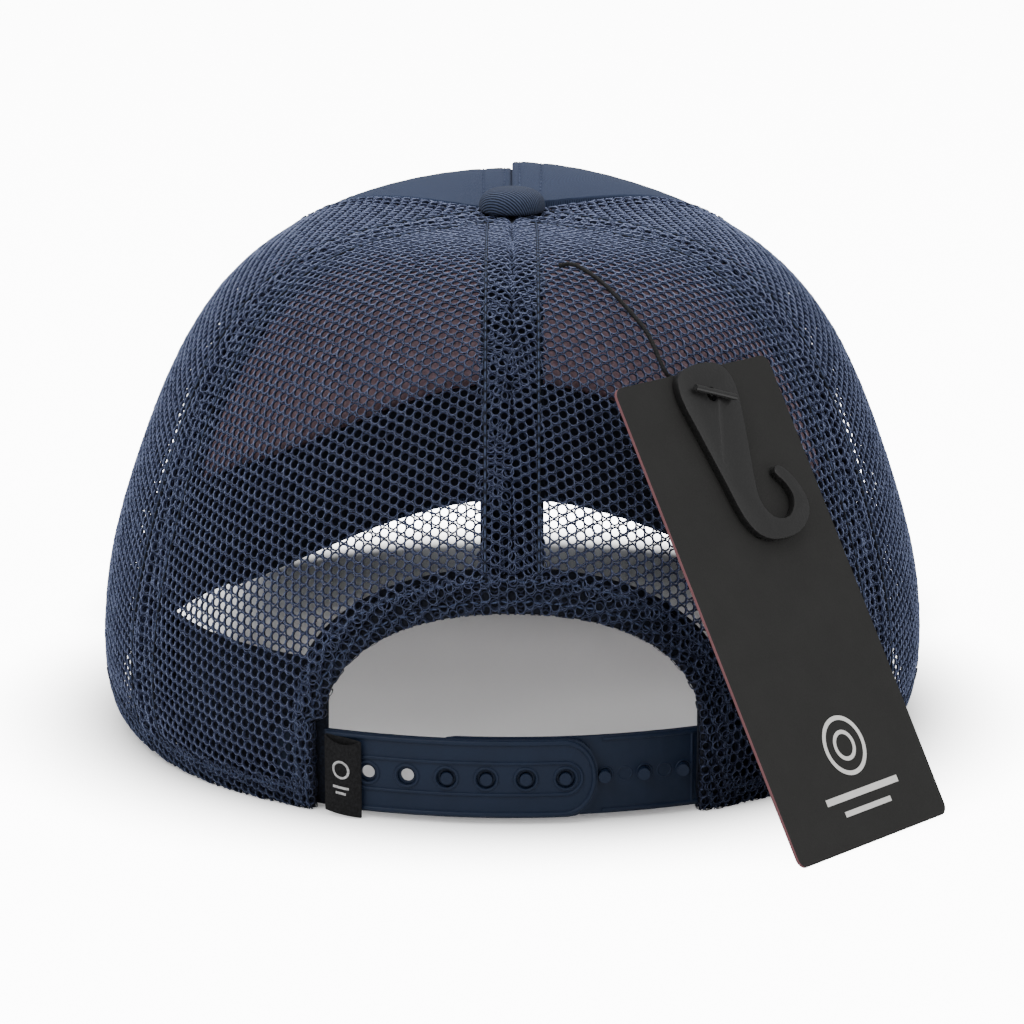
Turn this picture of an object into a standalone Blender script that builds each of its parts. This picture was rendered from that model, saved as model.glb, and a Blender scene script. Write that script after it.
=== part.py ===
"""Trucker mesh cap at rest on a flat floor, with its hang tag leaning on the crown.

Back of the cap towards -Y, brim towards +Y, up is +Z.  Lengths below are in millimetres
and angles in degrees unless a name says otherwise.  The crown is one smooth surface: its
plan is an ellipse and its upright section a superellipse; every panel, tape and band is a
closed slab between two depths below that surface.
"""

import math

import bmesh
import bpy
import numpy as np

MM = 0.001
SHIFT_Y = -20.06  # moves the finished cap so that the origin is at the middle of its box

# crown surface
HALF_X = 96.1  # half width of the crown at its widest
HALF_Y = 98.5  # half length of the crown at its widest
WIDEST = 18.0  # height of the widest ring
TOP = 118.0  # height of the crown's middle before the front rise
POWER_W = 4.36  # squareness of the upright section, sideways
POWER_Z = 1.4  # squareness of the upright section, upwards
FLARE = 0.035  # share by which the crown narrows from the widest ring to the floor
RISE = 7.0  # how much the front panels stand above the plain dome
RISE_Y, RISE_SX, RISE_SY = 40.0, 60.0, 30.0
LOW = 0.1  # share of the upright parameter below the widest ring

# bottom edge
TEMPLE = 50.0  # angle from the front at which the brim ends
HEM_TEMPLE = 13.5  # height of the bottom edge at the temples
HEM_FRONT = 29.0  # height of the bottom edge at the front
HEM_FLAT = 138.5  # from this angle to the back the bottom edge lies on the floor
HEM_TALL = 6.0

# layers, as depths below the crown surface
MESH = (0.0, 1.2)
TWILL = (0.0, 1.2)
BACKING = (2.0, 3.8)
TAPE = (1.8, 2.6)
TAPE_FRONT = (4.4, 5.2)
HEM = (-0.4, 1.5)
BINDING = (-0.6, 1.5)
BAND_THICK = 1.2
BAND_FRONT, BAND_REAR = 6.0, 5.2
BAND_TALL = 34.0

# arch opening at the back
ARCH_IN = (41.6, 47.3)  # half width and top of the opening
ARCH_OUT = (48.0, 55.3)  # half width and top of its binding
ARCH_LEG = 20.0  # the sides of the arch are upright to this height
ARCH_POWER = 2.15
SLOT_X, SLOT_TOP = -43.7, 20.4  # the left leg's edge is let in here, for strap and label to swing

# snap straps
STRAP_X = 41.0  # hinge line of each strap from the middle
STRAP_ROOT_Y = -84.7
STRAP_BEND = 0.0052  # per mm, the plan of a strap is y = -c + bend * x * x
STRAP_GAP = 0.8  # each strap's middle plane is this far from the common plan
STRAP_THICK = 1.2
STRAP_LOW, STRAP_HIGH = 1.6, 19.2
TIP_LEFT, TIP_RIGHT = 18.5, -18.8
PITCH = 8.6
PEG_FIRST = -14.2
HOLE_R, PEG_R = 2.15, 1.35

# hang tag, hook and string
TAG_W, TAG_H, TAG_THICK = 52.0, 109.0, 0.9
TAG_CORNER = (60.9, -125.9, 0.45)
TAG_YAW, TAG_LEAN = 48.0, 28.9
TAG_HOLE = (27.3, 102.7)
EXIT = (10.5, -51.4, 115.6)  # where the string leaves the crown
STRING_D = 1.1


def material(name, colour, roughness, metallic=0.0):
    found = bpy.data.materials.get(name)
    if found:
        return found
    made = bpy.data.materials.new(name)
    made.use_nodes = True
    shader = made.node_tree.nodes["Principled BSDF"]
    shader.inputs["Base Color"].default_value = (*colour, 1.0)
    shader.inputs["Roughness"].default_value = roughness
    shader.inputs["Metallic"].default_value = metallic
    return made


def unit(v):
    return v / np.linalg.norm(v, axis=-1, keepdims=True)


def section(t):
    """Width share and height share of the upright section at parameter t above the widest ring.

    At each elevation angle the distance from the centre is found by halving, so that
    (width ** POWER_W + height ** POWER_Z) is one.
    """
    angle = np.clip((t - LOW) / (1 - LOW), 0, 1) * np.pi / 2
    c, s = np.cos(angle), np.sin(angle)
    low, high = np.zeros_like(angle), np.full_like(angle, 1.5)
    for _ in range(48):
        mid = (low + high) / 2
        inside = (mid * c) ** POWER_W + (mid * s) ** POWER_Z < 1
        low, high = np.where(inside, mid, low), np.where(inside, high, mid)
    return low * c, low * s


def crown(phi, t):
    """Point of the crown surface; phi runs from the front towards +X, t from the floor to the top."""
    phi, t = np.broadcast_arrays(np.asarray(phi, float), np.asarray(t, float))
    f = np.radians(phi)
    ring = 1 / np.hypot(np.sin(f) / HALF_X, np.cos(f) / HALF_Y)
    wide, tall = section(t)
    height = WIDEST + (TOP - WIDEST) * tall
    low = t < LOW
    floor_height = WIDEST * t / LOW
    height = np.where(low, floor_height, height)
    wide = np.where(low, 1 - FLARE * ((WIDEST - floor_height) / WIDEST) ** 2, wide)
    x, y = ring * wide * np.sin(f), ring * wide * np.cos(f)
    bump = np.exp(-(((y - RISE_Y) / RISE_SY) ** 2) - (x / RISE_SX) ** 2)
    return np.stack([x, y, height + RISE * bump * np.where(low, 0, tall) ** 2], -1)


def outward(phi, t):
    """Unit direction pointing out of the crown; level below the widest ring."""
    t = np.asarray(t, float)
    across = crown(phi + 0.3, t) - crown(phi - 0.3, t)
    up = crown(phi, t + 0.003) - crown(phi, np.maximum(t - 0.003, 0))
    n = unit(np.cross(up, across))
    n = np.where((n[..., :1] * np.sin(np.radians(phi))[..., None]
                  + n[..., 1:2] * np.cos(np.radians(phi))[..., None]
                  + 0.3 * n[..., 2:]) < 0, -n, n)
    share = np.clip((t - LOW) / 0.12, 0, 1)
    n = n * np.stack([np.ones_like(share), np.ones_like(share), share], -1)
    return unit(n)


def t_at(height):
    """Upright parameter of a height, ignoring the front rise."""
    height = np.asarray(height, float)
    tall = np.clip((height - WIDEST) / (TOP - WIDEST), 0, 1)
    wide = (1 - tall**POWER_Z) ** (1 / POWER_W)
    upper = LOW + (1 - LOW) * np.arctan2(tall, wide) / (np.pi / 2)
    return np.where(height < WIDEST, LOW * height / WIDEST, upper)


def t_ring(radius):
    """Upright parameter near the top at which the crown is this far from its middle."""
    wide = radius / HALF_X
    tall = (1 - wide**POWER_W) ** (1 / POWER_Z)
    return float(LOW + (1 - LOW) * math.atan2(tall, wide) / (math.pi / 2))


def hem_height(phi):
    """Height of the bottom edge: raised over the brim, falling to the floor at the back."""
    a = np.abs(phi)
    front = HEM_TEMPLE + (HEM_FRONT - HEM_TEMPLE) * np.cos(
        np.clip(a / TEMPLE, 0, 1) * np.pi / 2) ** 2
    share = np.clip((a - TEMPLE) / (HEM_FLAT - TEMPLE), 0, 1)
    return np.where(a < TEMPLE, front, HEM_TEMPLE * (1 + np.cos(share * np.pi)) / 2)


def at_depth(phi, t, depth):
    return crown(phi, t) - np.asarray(depth, float)[..., None] * outward(phi, t)


def new_object(name, points, faces, mat, origin=(0.0, 0.0, 0.0), smooth=True):
    """Mesh object from points in millimetres; its origin is put at the given point."""
    mesh = bpy.data.meshes.new(name)
    mesh.from_pydata(((np.asarray(points) - np.array(origin)) * MM).tolist(), [], faces)
    bm = bmesh.new()
    bm.from_mesh(mesh)
    bmesh.ops.recalc_face_normals(bm, faces=bm.faces)
    bm.to_mesh(mesh)
    bm.free()
    if smooth:
        mesh.shade_smooth()
        mesh.set_sharp_from_angle(angle=math.radians(40))
    obj = bpy.data.objects.new(name, mesh)
    obj.location = ((origin[0]) * MM, (origin[1] + SHIFT_Y) * MM, origin[2] * MM)
    bpy.context.scene.collection.objects.link(obj)
    mesh.materials.append(mat)
    return obj


def slab(name, a, b, mat, origin=(0.0, 0.0, 0.0)):
    """Closed solid between two grids of points with the same rows and columns."""
    rows, cols = a.shape[:2]
    points = np.concatenate([a.reshape(-1, 3), b.reshape(-1, 3)])
    i = np.arange(rows * cols).reshape(rows, cols)
    k = i + rows * cols
    faces = np.stack([i[:-1, :-1], i[:-1, 1:], i[1:, 1:], i[1:, :-1]], -1).reshape(-1, 4)
    back = np.stack([k[:-1, :-1], k[1:, :-1], k[1:, 1:], k[:-1, 1:]], -1).reshape(-1, 4)
    rim_a = np.concatenate([i[0], i[1:, -1], i[-1, -2::-1], i[-2:0:-1, 0]])
    rim_b = rim_a + rows * cols
    side = np.stack([rim_a, rim_b, np.roll(rim_b, -1), np.roll(rim_a, -1)], -1)
    return new_object(name, points, np.concatenate([faces, back, side]).tolist(), mat, origin)


def shell(name, phi, t, depths, mat):
    """Slab of the crown over a grid of angles and upright parameters."""
    phi, t = np.broadcast_arrays(phi, t)
    flat = np.ones_like(t)
    return slab(name, at_depth(phi, t, flat * depths[0]), at_depth(phi, t, flat * depths[1]), mat)


def wedge(start, end, t, columns, gap=0.3):
    """Angles of a panel between two seams, kept a gap away from each seam at every height."""
    ring = np.linalg.norm(crown(np.full(t.shape[0], (start + end) / 2), t[:, 0])[:, :2], axis=1)
    trim = np.degrees(gap / ring)[:, None]
    share = np.linspace(0, 1, columns + 1)[None]
    return start + trim + (end - start - 2 * trim) * share


def heights(low, high, rows):
    """Upright parameters from a height given per column to one shared upper value."""
    share = np.linspace(0, 1, rows + 1)[:, None]
    return low[None] * (1 - share) + high * share


def panel(name, start, end, lift, radius, depths, mat, columns=8, rows=14):
    """Panel between two seams, from a height above the bottom edge to a ring at the top."""
    rough = np.linspace(start, end, columns + 1)
    t = heights(t_at(hem_height(rough) + lift), t_ring(radius), rows)
    return shell(name, wedge(start, end, t, columns), t, depths, mat)


def tape(name, middle, left, right, low, radius, depths, mat, rows=14):
    """Strip of constant width along a seam; left and right are its edges from the seam line."""
    t = heights(np.full(3, float(t_at(low))), t_ring(radius), rows)
    ring = np.linalg.norm(crown(np.full(rows + 1, middle), t[:, 0])[:, :2], axis=1)
    edge = np.degrees(np.linspace(left, right, 3)[None] / ring[:, None])
    return shell(name, middle + edge, t, depths, mat)


def arch(half, top, steps):
    """Outline of the arch in X and Z: upright sides, then half a superellipse."""
    a = np.linspace(0, np.pi, steps)
    power = 2 / ARCH_POWER
    x = half * np.sign(np.cos(a)) * np.abs(np.cos(a)) ** power
    z = ARCH_LEG + (top - ARCH_LEG) * np.abs(np.sin(a)) ** power
    legs = np.linspace(0, ARCH_LEG, 5)[:-1]
    x = np.concatenate([np.full(4, half), x, np.full(4, -half)])
    z = np.concatenate([legs, z, legs[::-1]])
    return np.stack([x, z], -1)


def on_back(x, z, depth):
    """Point of the back of the crown over the given X and Z."""
    t = t_at(z)
    wide = np.linalg.norm(crown(180.0, t)[..., :2], axis=-1) / HALF_Y
    phi = 180 - np.degrees(np.arctan2(x, HALF_Y * np.sqrt(wide**2 - (x / HALF_X) ** 2)))
    return at_depth(phi, t, np.ones_like(x) * depth)


def cut(obj, cutter, operation="DIFFERENCE"):
    modifier = obj.modifiers.new("cut", "BOOLEAN")
    modifier.operation = operation
    modifier.solver = "EXACT"
    modifier.object = cutter


def helper(obj):
    obj.hide_render = True
    obj.display_type = "WIRE"
    return obj


def arch_cutter(mat):
    outline = arch(ARCH_OUT[0] + 0.4, ARCH_OUT[1] + 0.4, 19)
    outline[0, 1] = outline[-1, 1] = -5.0
    near = np.stack([outline[:, 0], np.full(len(outline), -120.0), outline[:, 1]], -1)
    far = near + np.array([0.0, 75.0, 0.0])
    n = len(outline)
    faces = [list(range(n)), list(range(2 * n - 1, n - 1, -1))]
    faces += [[k, (k + 1) % n, n + (k + 1) % n, n + k] for k in range(n)]
    return helper(new_object("arch_cutter", np.concatenate([near, far]), faces, mat))


def box_cutter(name, low, high, mat):
    points = [[(low, high)[k >> axis & 1][axis] for axis in range(3)] for k in range(8)]
    faces = [[0, 2, 3, 1], [4, 5, 7, 6], [0, 1, 5, 4], [2, 6, 7, 3], [0, 4, 6, 2], [1, 3, 7, 5]]
    return helper(new_object(name, points, faces, mat))


def crown_panels(mats):
    cutter = arch_cutter(mats["mesh"])
    for side, sign in (("left", -1), ("right", 1)):
        panel("front_panel_" + side, *sorted((0, 60 * sign)), 0.0, 5.0, TWILL, mats["twill"])
        panel("front_backing_" + side, *sorted((0, 60 * sign)), 1.0, 14.0, BACKING,
              mats["backing"])
        panel("mesh_side_" + side, *sorted((60 * sign, 120 * sign)), HEM_TALL + 0.3, 5.0, MESH,
              mats["mesh"])
        rear = panel("mesh_back_" + side, *sorted((120 * sign, 180 * sign)), HEM_TALL + 0.3,
                     5.0, MESH, mats["mesh"])
        cut(rear, cutter)
        angles = np.linspace(60.5, 152.0, 15) * sign
        edge = hem_height(angles)
        t = np.stack([t_at(edge), t_at(edge + HEM_TALL / 2), t_at(edge + HEM_TALL)])
        hem = shell("hem_" + side, angles[None], t, HEM, mats["hem"])
        cut(hem, cutter)


def arch_binding(mats):
    inner = arch(*ARCH_IN, 25)
    outer = arch(*ARCH_OUT, 25)
    share = np.linspace(0, 1, 3)[:, None, None]
    grid = inner[None] * (1 - share) + outer[None] * share
    front = on_back(grid[..., 0], grid[..., 1], BINDING[0])
    back = on_back(grid[..., 0], grid[..., 1], BINDING[1])
    binding = slab("arch_binding", front, back, mats["hem"])
    cut(binding, box_cutter("label_slot", (SLOT_X, -96.0, -2.0), (-38.0, -78.0, SLOT_TOP),
                            mats["hem"]))


def seam_tapes(mats):
    m = mats["tape"]
    tape("seam_tape_front", 0.0, -6, 6, HEM_FRONT + 4, 20.0, TAPE_FRONT, m)
    for side, sign in (("left", -1), ("right", 1)):
        edges = sorted((0.7 * sign, 9.0 * sign))
        tape("seam_tape_side_" + side, 60.0 * sign, *edges, 22.0, 20.0, TAPE, m)
        tape("seam_tape_rear_" + side, 120.0 * sign, -6, 6, 14.0, 20.0, TAPE, m)
    tape("seam_tape_back", 180.0, -7, 7, ARCH_OUT[1] + 1.0, 20.0, TAPE, m)


def sweatband(mats):
    end = 180 - math.degrees(math.asin(46.0 / HALF_X))
    phi = np.linspace(-end, end, 57)
    edge = hem_height(phi)
    rows = [t_at(edge + 2 + (BAND_TALL - 2) * share) for share in (0, 0.33, 0.67, 1)]
    t = np.stack(rows)
    front = np.clip((75 - np.abs(phi)) / 13, 0, 1)
    depth = BAND_REAR + (BAND_FRONT - BAND_REAR) * front
    depth = np.broadcast_to(depth, t.shape)
    wide = np.broadcast_to(phi, t.shape)
    slab("sweatband", at_depth(wide, t, depth), at_depth(wide, t, depth + BAND_THICK),
         mats["band"])


def top_height(x, y):
    """Height of the crown surface near its middle."""
    wide = np.hypot(x / HALF_X, y / HALF_Y)
    bump = np.exp(-(((y - RISE_Y) / RISE_SY) ** 2) - (x / RISE_SX) ** 2)
    tall = (1 - wide**POWER_W) ** (1 / POWER_Z)
    return WIDEST + (TOP - WIDEST) * tall + RISE * bump * tall**2


def disc(name, radii, upper, lower, mat, sides=24, hole=0.0):
    """Round solid about the crown's middle line between two heights given per radius."""
    angle = np.linspace(0, 2 * np.pi, sides, endpoint=False)
    points, faces = [], []
    rings = []
    for radius, high in [(r, "u") for r in radii] + [(r, "l") for r in radii[::-1]]:
        x, y = radius * np.cos(angle), radius * np.sin(angle)
        z = upper(x, y, radius) if high == "u" else lower(x, y, radius)
        rings.append(len(points))
        points += np.stack([x, y, np.broadcast_to(z, x.shape)], -1).tolist()
    pairs = list(zip(rings[:-1], rings[1:]))
    if hole:
        pairs.append((rings[-1], rings[0]))
    for a, b in pairs:
        faces += [[a + k, a + (k + 1) % sides, b + (k + 1) % sides, b + k] for k in range(sides)]
    if not hole:
        faces += [list(range(rings[0], rings[0] + sides)),
                  list(range(rings[-1], rings[-1] + sides))[::-1]]
    return new_object(name, points, faces, mat)


def crown_button(mats):
    base = float(top_height(0.0, 0.0))
    disc("crown_button", [1.0, 3.0, 5.0, 6.6, 7.4],
         lambda x, y, r: top_height(x, y) + 0.9 + 3.2 * (1 - (r / 7.6) ** 2.6) ** 0.5,
         lambda x, y, r: top_height(x, y) + 0.3, mats["button"])
    disc("button_washer", [1.9, 4.0, 7.0], lambda x, y, r: base - 4.0 + 0 * x,
         lambda x, y, r: base - 4.8 + 0 * x, mats["metal"], hole=1.9)
    disc("button_stud", [0.7, 1.5], lambda x, y, r: base - 0.2 + 0 * x,
         lambda x, y, r: base - 5.6 + 0 * x, mats["metal"], sides=16)


def brim_point(u, v):
    """Middle of the brim: u from one temple to the other, v from the crown to the outer edge."""
    phi = TEMPLE * 0.96 * u
    t = t_at(hem_height(phi))
    inner = at_depth(phi, t, np.full_like(t, -0.6))
    psi = u * np.pi / 2
    x = 76.0 * np.sin(psi)
    y = 66.0 + 99.0 * np.abs(np.cos(psi)) ** 0.5
    a = np.abs(u)
    low = 0.62
    z = np.where(a < low, 16.2 * np.cos(np.clip(a / low, 0, 1) * np.pi / 2) ** 2,
                 12.0 * np.sin(np.clip((a - low) / (1 - low), 0, 1) * np.pi / 2) ** 2) + 2.2
    outer = np.stack([x, y, z], -1)
    bow = 1.5 * np.sin(np.pi * v) * np.cos(psi)
    p = inner * (1 - v[..., None]) + outer * v[..., None]
    return p + bow[..., None] * np.array([0.0, 0.0, 1.0])


def brim(mats):
    u, v = np.linspace(-1, 1, 33)[None], np.linspace(0, 1, 9)[:, None]
    u, v = np.broadcast_arrays(u, v)
    middle = brim_point(u, v)
    lift = np.array([0.0, 0.0, 1.0])
    slab("brim_top_fabric", middle + 2.2 * lift, middle + 1.4 * lift, mats["twill"])
    slab("brim_under_fabric", middle - 1.4 * lift, middle - 2.2 * lift, mats["twill"])
    u2 = u * 0.97
    v2 = 0.02 + v * 0.955
    board = brim_point(u2, v2)
    slab("brim_board", board + 1.0 * lift, board - 1.0 * lift, mats["board"])


def strap_plane(x, offset):
    """Point of a strap's middle plan; offset is positive towards the inside of the cap."""
    deepest = STRAP_ROOT_Y - STRAP_BEND * STRAP_X**2
    return deepest + STRAP_BEND * x**2 + offset


def strap_plate(name, root, tip, offset, mat, origin):
    """Curved plate with a rounded tip, standing upright along the strap's plan."""
    share = np.linspace(0, 1, 23)
    x = root + (tip - root) * (1 - (1 - share) ** 1.5)
    half = (STRAP_HIGH - STRAP_LOW) / 2
    reach = np.clip(1 - np.abs(tip - x) / 7.0, 0, 1)
    tall = half * np.clip(1 - reach**2.4, 0.06, 1) ** 0.42
    middle = (STRAP_HIGH + STRAP_LOW) / 2
    up = np.linspace(-1, 1, 5)[:, None]
    z = middle + up * tall[None]
    y = strap_plane(x, offset)
    normal = unit(np.stack([-2 * STRAP_BEND * x, np.ones_like(x)], -1))
    half_thick = STRAP_THICK / 2
    grids = []
    for sign in (-1, 1):
        px = x + sign * half_thick * normal[:, 0]
        py = y + sign * half_thick * normal[:, 1]
        grids.append(np.stack([np.broadcast_to(px, z.shape), np.broadcast_to(py, z.shape), z], -1))
    return slab(name, grids[0], grids[1], mat, origin)


def pins(name, xs, radius, y0, y1, sides, mat, origin):
    """Row of upright-standing round pins along Y, as one mesh of separate cylinders."""
    angle = np.linspace(0, 2 * np.pi, sides, endpoint=False)
    points, faces = [], []
    middle = (STRAP_HIGH + STRAP_LOW) / 2
    for x, a, b in zip(xs, y0, y1):
        start = len(points)
        for y in (a, b):
            ring = np.stack([x + radius * np.cos(angle), np.full(sides, y),
                             middle + radius * np.sin(angle)], -1)
            points += ring.tolist()
        faces += [[start + k, start + (k + 1) % sides, start + sides + (k + 1) % sides,
                   start + sides + k] for k in range(sides)]
        faces += [list(range(start, start + sides)),
                  list(range(start + sides, start + 2 * sides))[::-1]]
    return new_object(name, points, faces, mat, origin)


def snap_straps(mats):
    m = mats["strap"]
    left_axis = (-STRAP_X, strap_plane(STRAP_X, -STRAP_GAP), 0.0)
    right_axis = (STRAP_X, strap_plane(STRAP_X, STRAP_GAP), 0.0)
    holes = strap_plate("snap_strap_holes", -STRAP_X + 0.3, TIP_LEFT, -STRAP_GAP, m, left_axis)
    pegs = strap_plate("snap_strap_pegs", STRAP_X - 0.3, TIP_RIGHT, STRAP_GAP, m, right_axis)
    hole_x = PEG_FIRST + PITCH * np.arange(-2, 4)
    peg_x = PEG_FIRST + PITCH * np.arange(0, 7)
    peg_x = peg_x[peg_x < STRAP_X - 3]
    y = strap_plane(hole_x, -STRAP_GAP)
    cut(holes, helper(pins("hole_cutter", hole_x, HOLE_R, y - 4, y + 4, 16, m, left_axis)))
    y = strap_plane(peg_x, STRAP_GAP)
    cut(pegs, helper(pins("peg_row", peg_x, PEG_R, y - 2.8, y + 0.2, 14, m, right_axis)),
        "UNION")
    for side, sign, offset in (("left", -1, -STRAP_GAP), ("right", 1, STRAP_GAP)):
        x = sign * np.linspace(STRAP_X + 3.4, 53.0, 4)
        z = np.linspace(STRAP_LOW + 1, STRAP_HIGH - 1, 3)[:, None] + 0 * x
        depth = 2.5 if side == "left" else 4.1
        slab("strap_tab_" + side, on_back(x + 0 * z, z, depth - 0.45),
             on_back(x + 0 * z, z, depth + 0.45), m)
    return left_axis


def woven_label(mats, axis):
    """Folded label sewn in beside the strap's root; its origin is on its sewn edge."""
    slope = -2 * STRAP_BEND * STRAP_X
    along = unit(np.array([1.0, slope, 0.0]))
    out = np.array([along[1], -along[0], 0.0])
    origin = np.array(axis) + 1.1 * along + 1.4 * out + np.array([0, 0, 1.2])
    a = np.linspace(0.0, 8.8, 4)[None, :, None]
    z = np.linspace(0.0, 17.3, 4)[:, None, None]
    grid = origin + a * along + z * np.array([0.0, 0.0, 1.0])
    slab("woven_label", grid + 0.4 * out, grid - 0.4 * out, mats["label"], tuple(origin))


def tag_frame():
    """Right, up and face directions of the hang tag."""
    yaw, lean = math.radians(TAG_YAW), math.radians(TAG_LEAN)
    right = np.array([math.cos(yaw), math.sin(yaw), 0.0])
    level = np.array([math.sin(yaw), -math.cos(yaw), 0.0])
    up = np.array([0.0, 0.0, math.cos(lean)]) - level * math.sin(lean)
    return right, up, np.cross(right, up)


def on_tag(a, b, c):
    """Point at a mm along the tag, b mm up it and c mm in front of its face."""
    right, up, face = tag_frame()
    a, b, c = (np.asarray(v, float)[..., None] for v in (a, b, c))
    return np.array(TAG_CORNER) + a * right + b * up + c * face


def plate(name, outline, low, high, mat, origin):
    """Flat plate on the tag's plane with the given outline."""
    n = len(outline)
    outline = np.array(outline, float)
    points = np.concatenate([on_tag(outline[:, 0], outline[:, 1], low),
                             on_tag(outline[:, 0], outline[:, 1], high)])
    faces = [list(range(n)), list(range(2 * n - 1, n - 1, -1))]
    faces += [[k, (k + 1) % n, n + (k + 1) % n, n + k] for k in range(n)]
    obj = new_object(name, points, faces, mat, origin, smooth=False)
    return obj


def tag_pin(name, a, b, low, high, radius, sides, mat, origin):
    angle = np.linspace(0, 2 * np.pi, sides, endpoint=False)
    ring = np.stack([a + radius * np.cos(angle), b + radius * np.sin(angle)], -1)
    return plate(name, ring, low, high, mat, origin)


def smooth_loop(points, steps):
    """Closed curve through hand-chosen points, each span cut into equal steps."""
    p = np.array(points, float)
    before, after, later = np.roll(p, 1, 0), np.roll(p, -1, 0), np.roll(p, -2, 0)
    out = []
    for s in np.linspace(0, 1, steps, endpoint=False):
        out.append(0.5 * (2 * p + (after - before) * s
                          + (2 * before - 5 * p + 4 * after - later) * s**2
                          + (3 * p - before - 3 * after + later) * s**3))
    return np.stack(out, 1).reshape(-1, 2)


def hang_tag(mats):
    r = 4.0
    outline = []
    for cx, cy, start in ((r, r, 180), (TAG_W - r, r, 270), (TAG_W - r, TAG_H - r, 0),
                          (r, TAG_H - r, 90)):
        for k in range(5):
            angle = math.radians(start + 22.5 * k)
            outline.append((cx + r * math.cos(angle), cy + r * math.sin(angle)))
    tag = plate("hang_tag", outline, -TAG_THICK, 0.0, mats["card"], EXIT)
    cut(tag, helper(tag_pin("tag_hole_cutter", *TAG_HOLE, -3, 3, 1.8, 16, mats["card"], EXIT)))


def tag_hook(mats):
    origin = tuple(on_tag(*TAG_HOLE, 1.1))
    route = [(26.5, 110.0), (19.5, 108.6), (17.3, 103.5), (18.8, 94.0), (20.6, 84.0),
             (22.2, 75.0), (25.2, 70.2), (30.5, 68.2), (38.0, 68.6), (43.2, 71.8),
             (44.3, 76.0), (42.3, 81.2), (39.2, 83.9), (37.4, 82.6), (39.6, 79.4),
             (40.2, 75.6), (36.6, 72.4), (31.6, 73.2), (29.2, 78.0), (31.2, 86.0),
             (33.6, 94.0), (35.8, 103.5), (33.4, 108.7)]
    hook = plate("tag_hook", smooth_loop(route, 3), 0.3, 1.9, mats["hook"], origin)
    cut(hook, helper(tag_pin("hook_hole_cutter", *TAG_HOLE, -3, 5, 1.7, 16, mats["hook"],
                             origin)))


def bar(name, start, end, radius, sides, mat, origin):
    start, end = np.array(start, float), np.array(end, float)
    axis = unit(end - start)
    side = unit(np.cross(axis, [0.0, 0.0, 1.0]))
    other = np.cross(axis, side)
    angle = np.linspace(0, 2 * np.pi, sides, endpoint=False)[:, None]
    ring = radius * (np.cos(angle) * side + np.sin(angle) * other)
    points = np.concatenate([start + ring, end + ring])
    faces = [list(range(sides)), list(range(2 * sides - 1, sides - 1, -1))]
    faces += [[k, (k + 1) % sides, sides + (k + 1) % sides, sides + k] for k in range(sides)]
    return new_object(name, points, faces, mat, origin)


def string_route():
    """Points of the tag string from the crown, over the tag's top edge and through its hole."""
    tail = [(19.6, 111.2, -1.8), (22.5, 108.0, -2.9), (25.6, 104.6, -3.0),
            (27.2, 102.8, -1.6), (27.3, 102.7, 0.6), (27.3, 102.7, 1.7)]
    start = [(10.5, -51.4, 115.6), (13.8, -53.6, 116.2), (19.5, -58.5, 113.4),
             (25.0, -64.0, 108.6), (29.6, -69.2, 103.6)]
    return np.concatenate([np.array(start), [on_tag(*p) for p in tail]])


def smooth_path(points, spacing):
    """Curve through the points, sampled at about the given spacing."""
    p = np.array(points, float)
    p = np.concatenate([[2 * p[0] - p[1]], p, [2 * p[-1] - p[-2]]])
    out = []
    for k in range(1, len(p) - 2):
        steps = max(1, int(round(np.linalg.norm(p[k + 1] - p[k]) / spacing)))
        s = np.linspace(0, 1, steps, endpoint=False)[:, None]
        a, b, c, d = p[k - 1], p[k], p[k + 1], p[k + 2]
        out.append(0.5 * (2 * b + (c - a) * s + (2 * a - 5 * b + 4 * c - d) * s**2
                          + (3 * b - a - 3 * c + d) * s**3))
    return np.concatenate(out + [p[-2:-1]])


def tag_string(mats):
    curve = bpy.data.curves.new("tag_string", "CURVE")
    curve.dimensions = "3D"
    curve.bevel_depth = STRING_D / 2 * MM
    curve.bevel_resolution = 2
    curve.use_fill_caps = True
    points = smooth_path(string_route(), 2.4)
    spline = curve.splines.new("POLY")
    spline.points.add(len(points) - 1)
    for point, place in zip(spline.points, (points - np.array(EXIT)) * MM):
        point.co = (*place, 1.0)
    curve.materials.append(mats["string"])
    obj = bpy.data.objects.new("tag_string", curve)
    obj.location = (EXIT[0] * MM, (EXIT[1] + SHIFT_Y) * MM, EXIT[2] * MM)
    bpy.context.scene.collection.objects.link(obj)
    bar("string_toggle", on_tag(21.6, 104.8, 2.95), on_tag(33.0, 100.6, 2.95), 0.7, 12,
        mats["string"], EXIT)


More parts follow.
